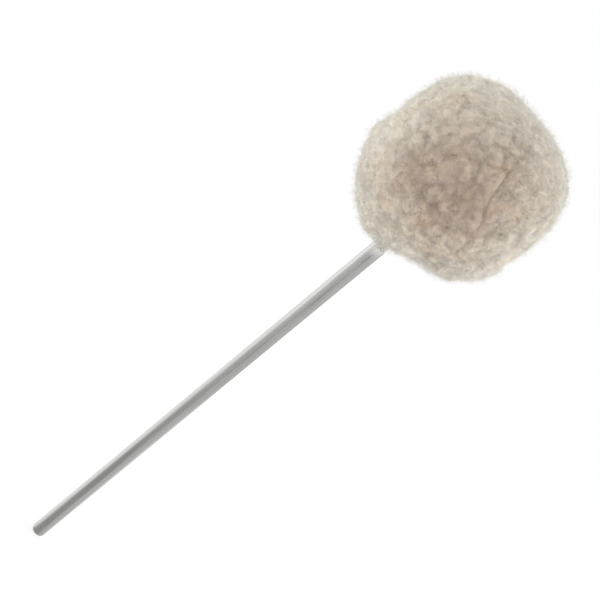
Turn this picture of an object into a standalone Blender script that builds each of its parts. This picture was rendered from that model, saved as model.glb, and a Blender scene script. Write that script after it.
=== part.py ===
"""Bass drum beater: a steel shaft that carries a turned wooden core, felt padding and a sewn lambswool cover.

The shaft stands along +Z with its head on top. The origin is on the shaft's axis where the pedal's hub grips it.
All sizes are in metres.
"""
import math
import random

import bmesh
import bpy
from mathutils import Matrix, Vector
from mathutils.kdtree import KDTree

# Shaft
SHAFT_DIAMETER = 0.00635
CLAMP_HEIGHT = 0.025
SHAFT_UNDER_CORE = 0.2167
FOOT_ROUNDING = 0.0012
THREAD_LENGTH = 0.0594
RELIEF_WIDTH = 0.0010
RELIEF_DEPTH = 0.0005
TIP_CHAMFER = 0.0006
TIP_PROUD = 0.0008

# Clearance between pieces that seat on each other
SEAT_GAP = 0.0003

# Nuts and washers for the quarter-inch thread
WASHER_DIAMETER = 0.0159
WASHER_THICKNESS = 0.0016
WASHER_EDGE = 0.0002
LOCK_WASHER_DIAMETER = 0.0124
LOCK_WASHER_THICKNESS = 0.0016
LOCK_WASHER_SPLIT = 0.0008
LOCK_WASHER_SLANT = math.radians(30)
NUT_ACROSS_FLATS = 0.0111
UPPER_NUT_THICKNESS = 0.0056
LOWER_NUT_THICKNESS = 0.0040
NUT_CHAMFER_ANGLE = math.radians(30)
NUT_COUNTERSINK = 0.0004

# Turned wooden core
CORE_DIAMETER = 0.040
CORE_HEIGHT = 0.040
CORE_ROUNDING = 0.0025
COUNTERBORE_CLEARANCE = 0.0008

# Felt round the core
FELT_WRAP_THICKNESS = 0.004
FELT_DISC_THICKNESS = 0.003
FELT_ROUNDING = 0.0018
FELT_JOINT_WIDTH = 0.0005

# Lambswool cover: the depth is hide and wool together
COVER_DEPTH = 0.0122
COVER_SQUARENESS = 2.65
NECK_DEPTH = 0.0035
NECK_SPREAD = math.radians(11)
LOCK_COUNT = 140
LOCK_SWELL = 0.0010
LOCK_CREASE_DEPTH = 0.0011
LOCK_CREASE_WIDTH = 0.11
LOCK_SCATTER = 0.09
LOCK_SEED = 5
SIDE_SEAM_AZIMUTH = math.radians(-62)

# Where the wool stands fuller or thinner than the even form:
# azimuth and elevation of the middle in degrees, height in metres, spread in degrees
COVER_SWELLS = (
    (-151, -61, 0.0024, 24),
    (-27, -60, -0.0026, 26),
    (176, 15, -0.0012, 20),
    (11, 36, 0.0012, 22),
    (-5, -19, 0.0008, 16),
)

# Sewing thread, whipped over the edges of the hide
SEAM_THREAD_DIAMETER = 0.0006
STITCH_PITCH = 0.0066
STITCH_REACH = 0.0009
STITCH_INSET = 0.0010
SEAM_END_GAP = 0.004

# Facets
SHAFT_SIDES = 32
CORE_SIDES = 40
CUTTER_SIDES = 48
ARC_STEPS = 3
COVER_SUBDIVISIONS = 5
POINTS_PER_STITCH = 8
CHANNEL_SIDES = 10
SMOOTH_ANGLE = math.radians(40)

# Heights along the shaft, and the radii that follow
SHAFT_RADIUS = SHAFT_DIAMETER / 2
BORE_RADIUS = SHAFT_RADIUS + SEAT_GAP
FOOT_Z = -CLAMP_HEIGHT
CORE_BOTTOM_Z = FOOT_Z + SHAFT_UNDER_CORE
CORE_TOP_Z = CORE_BOTTOM_Z + CORE_HEIGHT
HEAD_Z = (CORE_BOTTOM_Z + CORE_TOP_Z) / 2

LOWER_BORE_DEPTH = WASHER_THICKNESS + LOWER_NUT_THICKNESS + 2 * SEAT_GAP
UPPER_BORE_DEPTH = (
    WASHER_THICKNESS + LOCK_WASHER_THICKNESS + UPPER_NUT_THICKNESS + TIP_PROUD + 4 * SEAT_GAP
)
COUNTERBORE_RADIUS = WASHER_DIAMETER / 2 + COUNTERBORE_CLEARANCE
LOWER_WASHER_Z = CORE_BOTTOM_Z + LOWER_BORE_DEPTH - SEAT_GAP - WASHER_THICKNESS
LOWER_NUT_Z = LOWER_WASHER_Z - SEAT_GAP - LOWER_NUT_THICKNESS
UPPER_WASHER_Z = CORE_TOP_Z - UPPER_BORE_DEPTH + SEAT_GAP
LOCK_WASHER_Z = UPPER_WASHER_Z + WASHER_THICKNESS + SEAT_GAP
UPPER_NUT_Z = LOCK_WASHER_Z + LOCK_WASHER_THICKNESS + SEAT_GAP
SHAFT_TIP_Z = UPPER_NUT_Z + UPPER_NUT_THICKNESS + TIP_PROUD

FELT_INNER_RADIUS = CORE_DIAMETER / 2 + SEAT_GAP
FELT_OUTER_RADIUS = FELT_INNER_RADIUS + FELT_WRAP_THICKNESS
CAVITY_RADIUS = FELT_OUTER_RADIUS + SEAT_GAP
CAVITY_HALF_HEIGHT = CORE_HEIGHT / 2 + FELT_DISC_THICKNESS + 2 * SEAT_GAP
COVER_HALF_WIDTH = CAVITY_RADIUS + COVER_DEPTH
COVER_HALF_HEIGHT = CAVITY_HALF_HEIGHT + COVER_DEPTH
CUT_REACH = 2 * (COVER_HALF_WIDTH + COVER_HALF_HEIGHT)

SEAM_THREAD_RADIUS = SEAM_THREAD_DIAMETER / 2
SEAM_RADIUS = CAVITY_RADIUS + STITCH_INSET
SEAM_HALF_HEIGHT = CAVITY_HALF_HEIGHT + STITCH_INSET
CHANNEL_RADIUS = STITCH_REACH + SEAM_THREAD_RADIUS + SEAT_GAP
SIDE_SEAM_HALF_LENGTH = SEAM_HALF_HEIGHT - 2 * CHANNEL_RADIUS


def clear_scene():
    for old in list(bpy.data.objects):
        bpy.data.objects.remove(old)


def new_collection(name):
    collection = bpy.data.collections.new(name)
    bpy.context.scene.collection.children.link(collection)
    return collection


def new_material(name, colour, roughness, metallic=0.0):
    material = bpy.data.materials.new(name)
    material.use_nodes = True
    shader = material.node_tree.nodes["Principled BSDF"]
    shader.inputs["Base Color"].default_value = (*colour, 1.0)
    shader.inputs["Roughness"].default_value = roughness
    shader.inputs["Metallic"].default_value = metallic
    return material


def new_object(name, data, collection, material=None):
    made = bpy.data.objects.new(name, data)
    collection.objects.link(made)
    if material:
        data.materials.append(material)
    return made


def mark_cutter(cutter):
    cutter.hide_render = True
    cutter.display_type = "WIRE"
    return cutter


def arc(centre_x, centre_z, radius, start, end):
    """Points of an arc in the profile's plane, its angles in degrees, zero along +X."""
    angles = [math.radians(start + (end - start) * step / ARC_STEPS) for step in range(ARC_STEPS + 1)]
    return [(centre_x + radius * math.cos(angle), centre_z + radius * math.sin(angle)) for angle in angles]


def turned(name, profile, sides, collection, material=None, ring=False):
    """A shape turned about Z from a profile that runs down its outer side; a ring's profile is a closed loop."""
    edges = [(index, index + 1) for index in range(len(profile) - 1)]
    if ring:
        edges.append((len(profile) - 1, 0))
    mesh = bpy.data.meshes.new(name)
    mesh.from_pydata([(x, 0.0, z) for x, z in profile], edges, [])
    made = new_object(name, mesh, collection, material)
    screw = made.modifiers.new("Turn", "SCREW")
    screw.steps = sides
    screw.render_steps = sides
    screw.use_merge_vertices = True
    screw.merge_threshold = 0.00001
    screw.use_smooth_shade = False
    return made


def primitive(name, build, collection, material=None, location=(0, 0, 0)):
    """An object whose mesh comes from one bmesh primitive."""
    mesh = bpy.data.meshes.new(name)
    shape = bmesh.new()
    build(shape)
    shape.to_mesh(mesh)
    shape.free()
    made = new_object(name, mesh, collection, material)
    made.location = location
    return made


def cut(target, cutter, operation="DIFFERENCE"):
    boolean = target.modifiers.new(cutter.name, "BOOLEAN")
    boolean.operation = operation
    boolean.solver = "EXACT"
    boolean.object = cutter


def ring_profile(inner, outer, bottom, top, edge=0.0):
    """A ring's section, with its two outer edges broken if asked."""
    if not edge:
        return [(outer, top), (outer, bottom), (inner, bottom), (inner, top)]
    upper = [(outer - edge, top), (outer, top - edge)]
    lower = [(outer, bottom + edge), (outer - edge, bottom)]
    return [*upper, *lower, (inner, bottom), (inner, top)]


def build_shaft(collection, material):
    """Plain rod with a rounded foot, a relief groove where the thread starts, and a chamfered tip."""
    thread_start = SHAFT_TIP_Z - THREAD_LENGTH
    relief_top = thread_start
    relief_bottom = thread_start - RELIEF_WIDTH
    relief_radius = SHAFT_RADIUS - RELIEF_DEPTH
    profile = [
        (0.0, SHAFT_TIP_Z),
        (SHAFT_RADIUS - TIP_CHAMFER, SHAFT_TIP_Z),
        (SHAFT_RADIUS, SHAFT_TIP_Z - TIP_CHAMFER),
        (SHAFT_RADIUS, relief_top + RELIEF_DEPTH / 2),
        (relief_radius, relief_top),
        (relief_radius, relief_bottom),
        (SHAFT_RADIUS, relief_bottom - RELIEF_DEPTH / 2),
        *arc(SHAFT_RADIUS - FOOT_ROUNDING, FOOT_Z + FOOT_ROUNDING, FOOT_ROUNDING, 0, -90),
        (0.0, FOOT_Z),
    ]
    return turned("shaft", profile, SHAFT_SIDES, collection, material)


def build_washer(name, bottom, collection, material):
    top = bottom + WASHER_THICKNESS
    profile = ring_profile(BORE_RADIUS, WASHER_DIAMETER / 2, bottom, top, WASHER_EDGE)
    return turned(name, profile, SHAFT_SIDES, collection, material, ring=True)


def build_lock_washer(collection, cutters, material):
    """A split spring washer, drawn down flat, with the slanted gap where its wire's ends meet."""
    outer = LOCK_WASHER_DIAMETER / 2
    profile = ring_profile(BORE_RADIUS, outer, LOCK_WASHER_Z, LOCK_WASHER_Z + LOCK_WASHER_THICKNESS)
    washer = turned("lock_washer", profile, SHAFT_SIDES, collection, material, ring=True)

    def blade(shape):
        bmesh.ops.create_cube(shape, size=1.0)
        bmesh.ops.scale(
            shape, vec=(LOCK_WASHER_DIAMETER, LOCK_WASHER_SPLIT, 4 * LOCK_WASHER_THICKNESS), verts=shape.verts
        )
        bmesh.ops.rotate(shape, matrix=Matrix.Rotation(LOCK_WASHER_SLANT, 3, "X"), verts=shape.verts)

    middle = LOCK_WASHER_Z + LOCK_WASHER_THICKNESS / 2
    cutter = primitive(
        "lock_washer_split", blade, cutters, location=(LOCK_WASHER_DIAMETER / 2, 0.0, middle)
    )
    cut(washer, mark_cutter(cutter))
    return washer


def build_nut(name, bottom, thickness, collection, cutters, material):
    """A hexagon with its corners chamfered on both faces, and a countersunk bore."""
    flat_radius = NUT_ACROSS_FLATS / 2
    corner_radius = flat_radius / math.cos(math.pi / 6)
    reach = 1.2 * corner_radius
    slope = (reach - flat_radius) * math.tan(NUT_CHAMFER_ANGLE)
    top = bottom + thickness

    def hexagon(shape):
        bmesh.ops.create_cone(
            shape,
            cap_ends=True,
            segments=6,
            radius1=corner_radius,
            radius2=corner_radius,
            depth=thickness,
        )

    nut = primitive(name, hexagon, collection, material, location=(0, 0, bottom + thickness / 2))
    chamfer = turned(
        f"{name}_chamfer",
        [
            (0.0, top + SEAT_GAP * math.tan(NUT_CHAMFER_ANGLE)),
            (flat_radius - SEAT_GAP, top + SEAT_GAP * math.tan(NUT_CHAMFER_ANGLE)),
            (reach, top - slope),
            (reach, bottom + slope),
            (flat_radius - SEAT_GAP, bottom - SEAT_GAP * math.tan(NUT_CHAMFER_ANGLE)),
            (0.0, bottom - SEAT_GAP * math.tan(NUT_CHAMFER_ANGLE)),
        ],
        CORE_SIDES,
        cutters,
    )
    cut(nut, mark_cutter(chamfer), "INTERSECT")
    past = 2 * NUT_COUNTERSINK
    bore = turned(
        f"{name}_bore",
        [
            (0.0, top + past),
            (BORE_RADIUS + NUT_COUNTERSINK + past, top + past),
            (BORE_RADIUS, top - NUT_COUNTERSINK),
            (BORE_RADIUS, bottom + NUT_COUNTERSINK),
            (BORE_RADIUS + NUT_COUNTERSINK + past, bottom - past),
            (0.0, bottom - past),
        ],
        SHAFT_SIDES,
        cutters,
    )
    cut(nut, mark_cutter(bore))
    return nut


def build_core(collection, material):
    """Turned hardwood, bored through for the shaft and counterbored at both ends for its nuts."""
    radius = CORE_DIAMETER / 2
    profile = [
        *arc(radius - CORE_ROUNDING, CORE_TOP_Z - CORE_ROUNDING, CORE_ROUNDING, 90, 0),
        *arc(radius - CORE_ROUNDING, CORE_BOTTOM_Z + CORE_ROUNDING, CORE_ROUNDING, 0, -90),
        (COUNTERBORE_RADIUS, CORE_BOTTOM_Z),
        (COUNTERBORE_RADIUS, CORE_BOTTOM_Z + LOWER_BORE_DEPTH),
        (BORE_RADIUS, CORE_BOTTOM_Z + LOWER_BORE_DEPTH),
        (BORE_RADIUS, CORE_TOP_Z - UPPER_BORE_DEPTH),
        (COUNTERBORE_RADIUS, CORE_TOP_Z - UPPER_BORE_DEPTH),
        (COUNTERBORE_RADIUS, CORE_TOP_Z),
    ]
    return turned("wood_core", profile, CORE_SIDES, collection, material, ring=True)


def upright_blade(name, azimuth, width, inner, outer, collection):
    """A thin upright plate that reaches out from one radius to another, for slitting a ring at one side."""

    def plate(shape):
        bmesh.ops.create_cube(shape, size=1.0)
        bmesh.ops.scale(shape, vec=(outer - inner, width, CUT_REACH), verts=shape.verts)

    middle = (inner + outer) / 2
    blade = primitive(name, plate, collection)
    blade.location = (middle * math.cos(azimuth), middle * math.sin(azimuth), HEAD_Z)
    blade.rotation_euler = (0, 0, azimuth)
    return mark_cutter(blade)


def build_felt(collection, cutters, material):
    """A strip of felt wrapped round the core, butted on the side away from the cover's seam, and two end discs."""
    wrap = turned(
        "felt_wrap",
        ring_profile(FELT_INNER_RADIUS, FELT_OUTER_RADIUS, CORE_BOTTOM_Z, CORE_TOP_Z),
        CORE_SIDES,
        collection,
        material,
        ring=True,
    )
    joint = upright_blade(
        "felt_joint",
        SIDE_SEAM_AZIMUTH + math.pi,
        FELT_JOINT_WIDTH,
        CORE_DIAMETER / 4,
        CAVITY_RADIUS + COVER_DEPTH,
        cutters,
    )
    cut(wrap, joint)

    disc_bottom = CORE_BOTTOM_Z - SEAT_GAP - FELT_DISC_THICKNESS
    disc_top = CORE_TOP_Z + SEAT_GAP + FELT_DISC_THICKNESS
    rim = FELT_OUTER_RADIUS - FELT_ROUNDING
    lower = [
        (FELT_OUTER_RADIUS, disc_bottom + FELT_DISC_THICKNESS),
        *arc(rim, disc_bottom + FELT_ROUNDING, FELT_ROUNDING, 0, -90),
        (BORE_RADIUS, disc_bottom),
        (BORE_RADIUS, disc_bottom + FELT_DISC_THICKNESS),
    ]
    turned("felt_lower_disc", lower, CORE_SIDES, collection, material, ring=True)
    upper = [
        (0.0, disc_top),
        *arc(rim, disc_top - FELT_ROUNDING, FELT_ROUNDING, 90, 0),
        (FELT_OUTER_RADIUS, disc_top - FELT_DISC_THICKNESS),
        (0.0, disc_top - FELT_DISC_THICKNESS),
    ]
    turned("felt_upper_disc", upper, CORE_SIDES, collection, material)


def lock_directions():
    """The middles of the wool's locks: an even spiral over a sphere, scattered a little, each with its own fullness."""
    source = random.Random(LOCK_SEED)
    turn = math.pi * (3 - math.sqrt(5))
    found = []
    for index in range(LOCK_COUNT):
        height = 1 - (2 * index + 1) / LOCK_COUNT
        ring = math.sqrt(1 - height * height)
        point = Vector((ring * math.cos(turn * index), ring * math.sin(turn * index), height))
        for axis in range(3):
            point[axis] += source.uniform(-LOCK_SCATTER, LOCK_SCATTER)
        found.append((point.normalized(), source.uniform(-0.5, 0.5)))
    return found


def even_form(direction):
    """How far the cover's even form reaches: a superellipse turned about Z, so a stubby drum with full edges."""
    across = math.hypot(direction.x, direction.y) / COVER_HALF_WIDTH
    along = abs(direction.z) / COVER_HALF_HEIGHT
    return (across**COVER_SQUARENESS + along**COVER_SQUARENESS) ** (-1 / COVER_SQUARENESS)


def swell_height(direction):
    """What the hand-shorn wool adds or lacks, as a smooth hump or hollow round each swell's middle."""
    total = 0.0
    for azimuth, elevation, height, spread in COVER_SWELLS:
        turn, rise = math.radians(azimuth), math.radians(elevation)
        middle = Vector((math.cos(rise) * math.cos(turn), math.cos(rise) * math.sin(turn), math.sin(rise)))
        total += height * math.exp(-((direction.angle(middle) / math.radians(spread)) ** 2))
    return total


def build_cover_form():
    """The cover's outer shape as a closed mesh round the head's middle: a sphere drawn out to rounded locks of wool."""
    locks = lock_directions()
    tree = KDTree(len(locks))
    for index, (direction, _) in enumerate(locks):
        tree.insert(direction, index)
    tree.balance()
    mesh = bpy.data.meshes.new("cover_form")
    shape = bmesh.new()
    bmesh.ops.create_icosphere(shape, subdivisions=COVER_SUBDIVISIONS, radius=1.0)
    down = Vector((0, 0, -1))
    for point in shape.verts:
        direction = point.co.normalized()
        (_, nearest, first), (_, _, second) = tree.find_n(direction, 2)
        crease = math.exp(-(((second - first) / LOCK_CREASE_WIDTH) ** 2))
        lock = LOCK_SWELL * locks[nearest][1] - LOCK_CREASE_DEPTH * crease
        neck = NECK_DEPTH * math.exp(-((direction.angle(down) / NECK_SPREAD) ** 2))
        point.co = direction * (even_form(direction) + swell_height(direction) + lock - neck)
    shape.to_mesh(mesh)
    shape.free()
    return mesh


def seam_notch(first, last):
    """Section of the room round a seam's stitches, seen on the upper seam: points of a circle, in degrees.

    The radius grows a little so that the room's flats stay clear of the stitches.
    """
    radius = CHANNEL_RADIUS / math.cos(math.radians(abs(last - first)) / ARC_STEPS / 2)
    return arc(SEAM_RADIUS, SEAM_HALF_HEIGHT, radius, first, last)


def panel_sections():
    """Sections of the cover's panels, round the head's middle.

    The seams run out at 45 degrees from the stitches at the inner corners. The stitches' room takes the corner away,
    so each panel's inner face ends where that room crosses it.
    """
    lean = math.degrees(math.asin(SEAT_GAP / 2 / CHANNEL_RADIUS))
    meets = math.degrees(math.acos(STITCH_INSET / CHANNEL_RADIUS))
    band_notch = seam_notch(45 - lean, meets - 180)
    crown_notch = seam_notch(45 + lean, 270 - meets)
    far = CUT_REACH / 2
    (band_x, band_z), (crown_x, crown_z) = band_notch[0], crown_notch[0]
    upper = [(band_x + far, band_z + far), *band_notch]
    band = [
        *[(x, -z) for x, z in upper[:1]],
        *[(x, -z) for x, z in upper[1:-1]],
        (CAVITY_RADIUS, -upper[-1][1]),
        (CAVITY_RADIUS, upper[-1][1]),
        *reversed(upper[:-1]),
    ]
    edge = [(crown_x + far, crown_z + far), *crown_notch[:-1], (crown_notch[-1][0], CAVITY_HALF_HEIGHT)]
    crown = [(0.0, 2 * far), (crown_x + far, 2 * far), *edge, (0.0, CAVITY_HALF_HEIGHT)]
    base = [
        (BORE_RADIUS, -CAVITY_HALF_HEIGHT),
        *[(x, -z) for x, z in reversed(edge)],
        (crown_x + far, -2 * far),
        (BORE_RADIUS, -2 * far),
    ]
    return band, crown, base


def side_channel(collection):
    """The straight room for the side seam's stitches."""

    def rod(shape):
        bmesh.ops.create_cone(
            shape,
            cap_ends=True,
            segments=CHANNEL_SIDES,
            radius1=CHANNEL_RADIUS,
            radius2=CHANNEL_RADIUS,
            depth=2 * (SIDE_SEAM_HALF_LENGTH + SEAT_GAP),
        )

    across = (math.cos(SIDE_SEAM_AZIMUTH), math.sin(SIDE_SEAM_AZIMUTH))
    location = (SEAM_RADIUS * across[0], SEAM_RADIUS * across[1], HEAD_Z)
    return mark_cutter(primitive("side_seam_channel", rod, collection, location=location))


def build_cover(collection, cutters, material):
    """Three panels of sheepskin round the felt: a band with a butt seam, a crown and a base with the shaft's hole."""
    form = build_cover_form()
    form.materials.append(material)
    for name, section in zip(("fleece_band", "fleece_crown", "fleece_base"), panel_sections()):
        panel = bpy.data.objects.new(name, form)
        collection.objects.link(panel)
        panel.location = (0, 0, HEAD_Z)
        closed = name != "fleece_crown"
        limit = turned(f"{name}_section", section, CUTTER_SIDES, cutters, ring=closed)
        limit.location = (0, 0, HEAD_Z)
        cut(panel, mark_cutter(limit), "INTERSECT")
        if name == "fleece_band":
            cut(panel, side_channel(cutters))
            inner, outer = CORE_DIAMETER / 4, CUT_REACH / 2
            cut(panel, upright_blade("side_seam_slit", SIDE_SEAM_AZIMUTH, SEAT_GAP, inner, outer, cutters))


def thread_curve(name, points, collection, material):
    """A length of sewing thread along the points, as one tube with closed ends."""
    curve = bpy.data.curves.new(name, "CURVE")
    curve.dimensions = "3D"
    curve.bevel_depth = SEAM_THREAD_RADIUS
    curve.bevel_resolution = 0
    curve.use_fill_caps = True
    spline = curve.splines.new("POLY")
    spline.points.add(len(points) - 1)
    for target, point in zip(spline.points, points):
        target.co = (*point, 1.0)
    return new_object(name, curve, collection, material)


def least_gap(points):
    """The least room between stitches of one thread: points over half a stitch apart, less the thread's thickness."""
    skip = POINTS_PER_STITCH // 2
    return min(
        (first - second).length - SEAM_THREAD_DIAMETER
        for index, first in enumerate(points)
        for second in points[index + skip :]
    )


def ring_seam(name, side, collection, material):
    """Whip stitches round the edge where an end panel meets the band: a helix wound on a circle."""
    span = 2 * math.pi - SEAM_END_GAP / SEAM_RADIUS
    stitches = round(span * SEAM_RADIUS / STITCH_PITCH)
    count = stitches * POINTS_PER_STITCH
    points = []
    for step in range(count + 1):
        round_head = SIDE_SEAM_AZIMUTH + span * step / count
        round_edge = 2 * math.pi * step / POINTS_PER_STITCH
        radius = SEAM_RADIUS + STITCH_REACH * math.cos(round_edge)
        height = side * (SEAM_HALF_HEIGHT + STITCH_REACH * math.sin(round_edge))
        points.append(
            Vector((radius * math.cos(round_head), radius * math.sin(round_head), HEAD_Z + height))
        )
    thread_curve(name, points, collection, material)
    print(f"{name}: {stitches} stitches, least gap {least_gap(points) * 1000:.2f} mm")


def side_seam(collection, material):
    """Whip stitches up the band's butt seam: a straight helix."""
    half_length = SIDE_SEAM_HALF_LENGTH - SEAM_THREAD_RADIUS
    stitches = round(2 * half_length / STITCH_PITCH)
    count = stitches * POINTS_PER_STITCH
    middle = Vector((SEAM_RADIUS * math.cos(SIDE_SEAM_AZIMUTH), SEAM_RADIUS * math.sin(SIDE_SEAM_AZIMUTH), HEAD_Z))
    points = []
    for step in range(count + 1):
        turn = 2 * math.pi * step / POINTS_PER_STITCH
        offset = Vector((STITCH_REACH * math.cos(turn), STITCH_REACH * math.sin(turn), 0.0))
        offset.z = half_length * (2 * step / count - 1)
        points.append(middle + offset)
    thread_curve("side_seam_thread", points, collection, material)
    print(f"side_seam_thread: {stitches} stitches, least gap {least_gap(points) * 1000:.2f} mm")


def finish(collection):
    """Apply the modifiers, then shade the round faces smooth and keep the real edges crisp."""
    depsgraph = bpy.context.evaluated_depsgraph_get()
    solids = [piece for piece in collection.objects if piece.type == "MESH"]
    meshes = [bpy.data.meshes.new_from_object(piece.evaluated_get(depsgraph)) for piece in solids]
    for piece, mesh in zip(solids, meshes):
        piece.modifiers.clear()
        piece.data = mesh
        mesh.shade_smooth()
        mesh.set_sharp_from_angle(angle=SMOOTH_ANGLE)


def main():
    clear_scene()
    beater = new_collection("bass_drum_beater")
    cutters = new_collection("cutters")

    steel = new_material("shaft_steel", (0.62, 0.62, 0.60), 0.32, 1.0)
    zinc = new_material("fastener_zinc", (0.66, 0.67, 0.69), 0.38, 1.0)
    wood = new_material("core_wood", (0.60, 0.42, 0.25), 0.60)
    felt = new_material("padding_felt", (0.72, 0.70, 0.66), 0.95)
    fleece = new_material("lambswool", (0.80, 0.73, 0.65), 0.95)
    thread = new_material("seam_thread", (0.85, 0.82, 0.76), 0.80)

    build_shaft(beater, steel)
    build_washer("lower_washer", LOWER_WASHER_Z, beater, zinc)
    build_nut("lower_nut", LOWER_NUT_Z, LOWER_NUT_THICKNESS, beater, cutters, zinc)
    build_core(beater, wood)
    build_washer("upper_washer", UPPER_WASHER_Z, beater, zinc)
    build_lock_washer(beater, cutters, zinc)
    build_nut("upper_nut", UPPER_NUT_Z, UPPER_NUT_THICKNESS, beater, cutters, zinc)
    build_felt(beater, cutters, felt)
    build_cover(beater, cutters, fleece)
    ring_seam("crown_seam_thread", 1, beater, thread)
    ring_seam("base_seam_thread", -1, beater, thread)
    side_seam(beater, thread)
    finish(beater)


main()
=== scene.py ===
"""Dresses the bass drum beater: a drawn steel shaft with a cut thread, and a head of stitched lambswool.

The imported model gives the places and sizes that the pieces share. Each operator makes one piece or one group
of like pieces, and the panel in the sidebar lists them in the order in which they are made.
"""
import math

import bmesh
import bpy
import numpy as np
from bpy.props import FloatProperty, FloatVectorProperty, IntProperty, PointerProperty
from mathutils import Matrix, Vector


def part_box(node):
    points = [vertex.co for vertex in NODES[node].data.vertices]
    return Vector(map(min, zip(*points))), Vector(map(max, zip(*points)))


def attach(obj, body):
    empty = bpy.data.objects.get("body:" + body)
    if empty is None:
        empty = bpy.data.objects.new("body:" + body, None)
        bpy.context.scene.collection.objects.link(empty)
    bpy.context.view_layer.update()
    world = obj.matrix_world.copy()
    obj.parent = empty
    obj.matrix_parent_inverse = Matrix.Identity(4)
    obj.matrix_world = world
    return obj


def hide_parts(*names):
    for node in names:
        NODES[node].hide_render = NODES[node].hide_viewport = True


bl_info = {
    "name": "Bass drum beater",
    "version": (1, 0, 0),
    "blender": (4, 5, 0),
    "location": "View3D > Sidebar > Beater",
    "description": "Shaft, fasteners, core and lambswool cover of a bass drum beater",
    "category": "Object",
}

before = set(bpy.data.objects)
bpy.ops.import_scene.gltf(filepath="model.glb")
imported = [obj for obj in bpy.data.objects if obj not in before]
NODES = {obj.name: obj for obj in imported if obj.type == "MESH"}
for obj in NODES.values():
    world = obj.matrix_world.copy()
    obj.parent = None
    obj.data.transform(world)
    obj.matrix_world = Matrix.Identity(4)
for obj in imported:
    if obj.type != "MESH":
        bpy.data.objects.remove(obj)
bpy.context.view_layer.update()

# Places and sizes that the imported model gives, all in metres
SHAFT_LOW, SHAFT_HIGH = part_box("shaft")
SHAFT_RADIUS = SHAFT_HIGH.x
FOOT_Z = SHAFT_LOW.z
TIP_Z = SHAFT_HIGH.z
CORE_LOW, CORE_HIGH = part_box("wood_core")
CORE_RADIUS = CORE_HIGH.x
HEAD_Z = (CORE_LOW.z + CORE_HIGH.z) / 2
HEAD = Vector((0.0, 0.0, HEAD_Z))
FELT_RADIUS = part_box("felt_wrap")[1].x
FELT_HALF_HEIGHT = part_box("felt_upper_disc")[1].z - HEAD_Z

# The gap between solids that touch in the real piece, and the rooms that it leaves
FIT = 0.0003
BORE_RADIUS = SHAFT_RADIUS + FIT
CAVITY_RADIUS = FELT_RADIUS + FIT
CAVITY_HALF_HEIGHT = FELT_HALF_HEIGHT + FIT

# The rod's rounded foot, the groove below its thread, and how the thread starts and ends
FOOT_ROUNDING = 0.0012
THREAD_LENGTH = 0.0580
GROOVE_WIDTH = 0.0010
GROOVE_DEPTH = 0.0005
GROOVE_ROUNDING = 0.0003
THREAD_LEAD = 0.0004
TIP_BEVEL = 0.0006

# Half a thread's profile, from the groove's middle at 0 to the crest's at 1: where the crest begins, and how
# wide the flank below it is
CREST_EDGE = 0.86
FLANK_WIDTH = 0.72

# The felt strip's open joint, and the radius of the small flat that closes a disc or the crown in its middle
FELT_JOINT = 0.0005
CLOSED_RADIUS = 0.00015

# The cover's even form, a little inside the solids to leave room for the loose fibres, and its swells:
# azimuth and elevation of a swell's middle in degrees, its height in metres, its spread in degrees
COVER_DEPTH = 0.0108
COVER_SQUARENESS = 2.65
COVER_SWELLS = (
    (-151, -61, 0.0024, 24),
    (-27, -60, -0.0026, 26),
    (176, 15, -0.0012, 20),
    (11, 36, 0.0012, 22),
    (-5, -19, 0.0008, 16),
    (-163, -46, -0.0016, 12),
    (-126, -72, 0.0022, 15),
    (173, 24, -0.0010, 10),
    (-175, -19, 0.0010, 10),
    (-78, -77, 0.0022, 14),
)

# The dip round the rod's hole: its depth in metres and its spread
NECK_DEPTH = 0.0006
NECK_SPREAD = math.radians(11)

# How far the cover reaches from the head's middle beside the rod, and the room that its wool leaves round it
REACH_AT_ROD = 0.0325
ROOM_AT_ROD = 0.0002

# Where the panels' wool meets: over the two ring seams and over the side seam
SEAM_ELEVATION = math.radians(44)
SIDE_SEAM_AZIMUTH = math.radians(-62)

# The heights above the head's middle between which the wool changes from round curls to drawn-out ones
DRAWN_FROM = 0.012
DRAWN_TO = 0.028

# The side seam's way over the wool, which pulls it aside: azimuth and elevation in degrees, and its openness
SIDE_SEAM_WAY = (
    (-45, -44, 0.2),
    (-48, -37, 0.2),
    (-54, -27, 0.5),
    (-58, -20, 0.25),
    (-60, -13, 0.25),
    (-62, -5, 0.6),
    (-67, 2, 1.0),
    (-71, 9, 1.0),
    (-73, 16, 1.0),
    (-75, 23, 1.0),
    (-77, 31, 0.5),
    (-77, 44, 0.2),
)

# Half the width of the dips over the seams and of the free folds, and the ring dips' share of the full depth
SIDE_DIP_WIDTH = 0.00065
RING_DIP_WIDTH = 0.0011
FOLD_WIDTH = 0.00055
RING_DIP_SHARE = 0.12

# Sewing thread at the hide's edges, as the solids have it
STITCH_INSET = 0.0010
STITCH_REACH = 0.0009
STITCH_ROOM = 0.0015
THREAD_RADIUS = 0.0003
STITCH_PITCH = 0.0066
SEAM_END_GAP = 0.004
SEAM_RADIUS = CAVITY_RADIUS + STITCH_INSET
SEAM_HALF_HEIGHT = CAVITY_HALF_HEIGHT + STITCH_INSET
SIDE_SEAM_HALF_LENGTH = SEAM_HALF_HEIGHT - 2 * STITCH_ROOM
STEPS_PER_STITCH = 28

# The wool that covers the ring seams' stitches: its depth over them, half its width at that depth, and the
# slope at which it may fall away beyond
WOOL_OVER_STITCH = 0.0003
WOOL_OVER_STITCH_HALF_WIDTH = 0.0010
WOOL_OVER_STITCH_SLOPE = 0.35

# The angle by which a panel's outer edge stops short of its seam
EDGE_TURN = 0.03 * FIT / CAVITY_RADIUS

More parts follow.
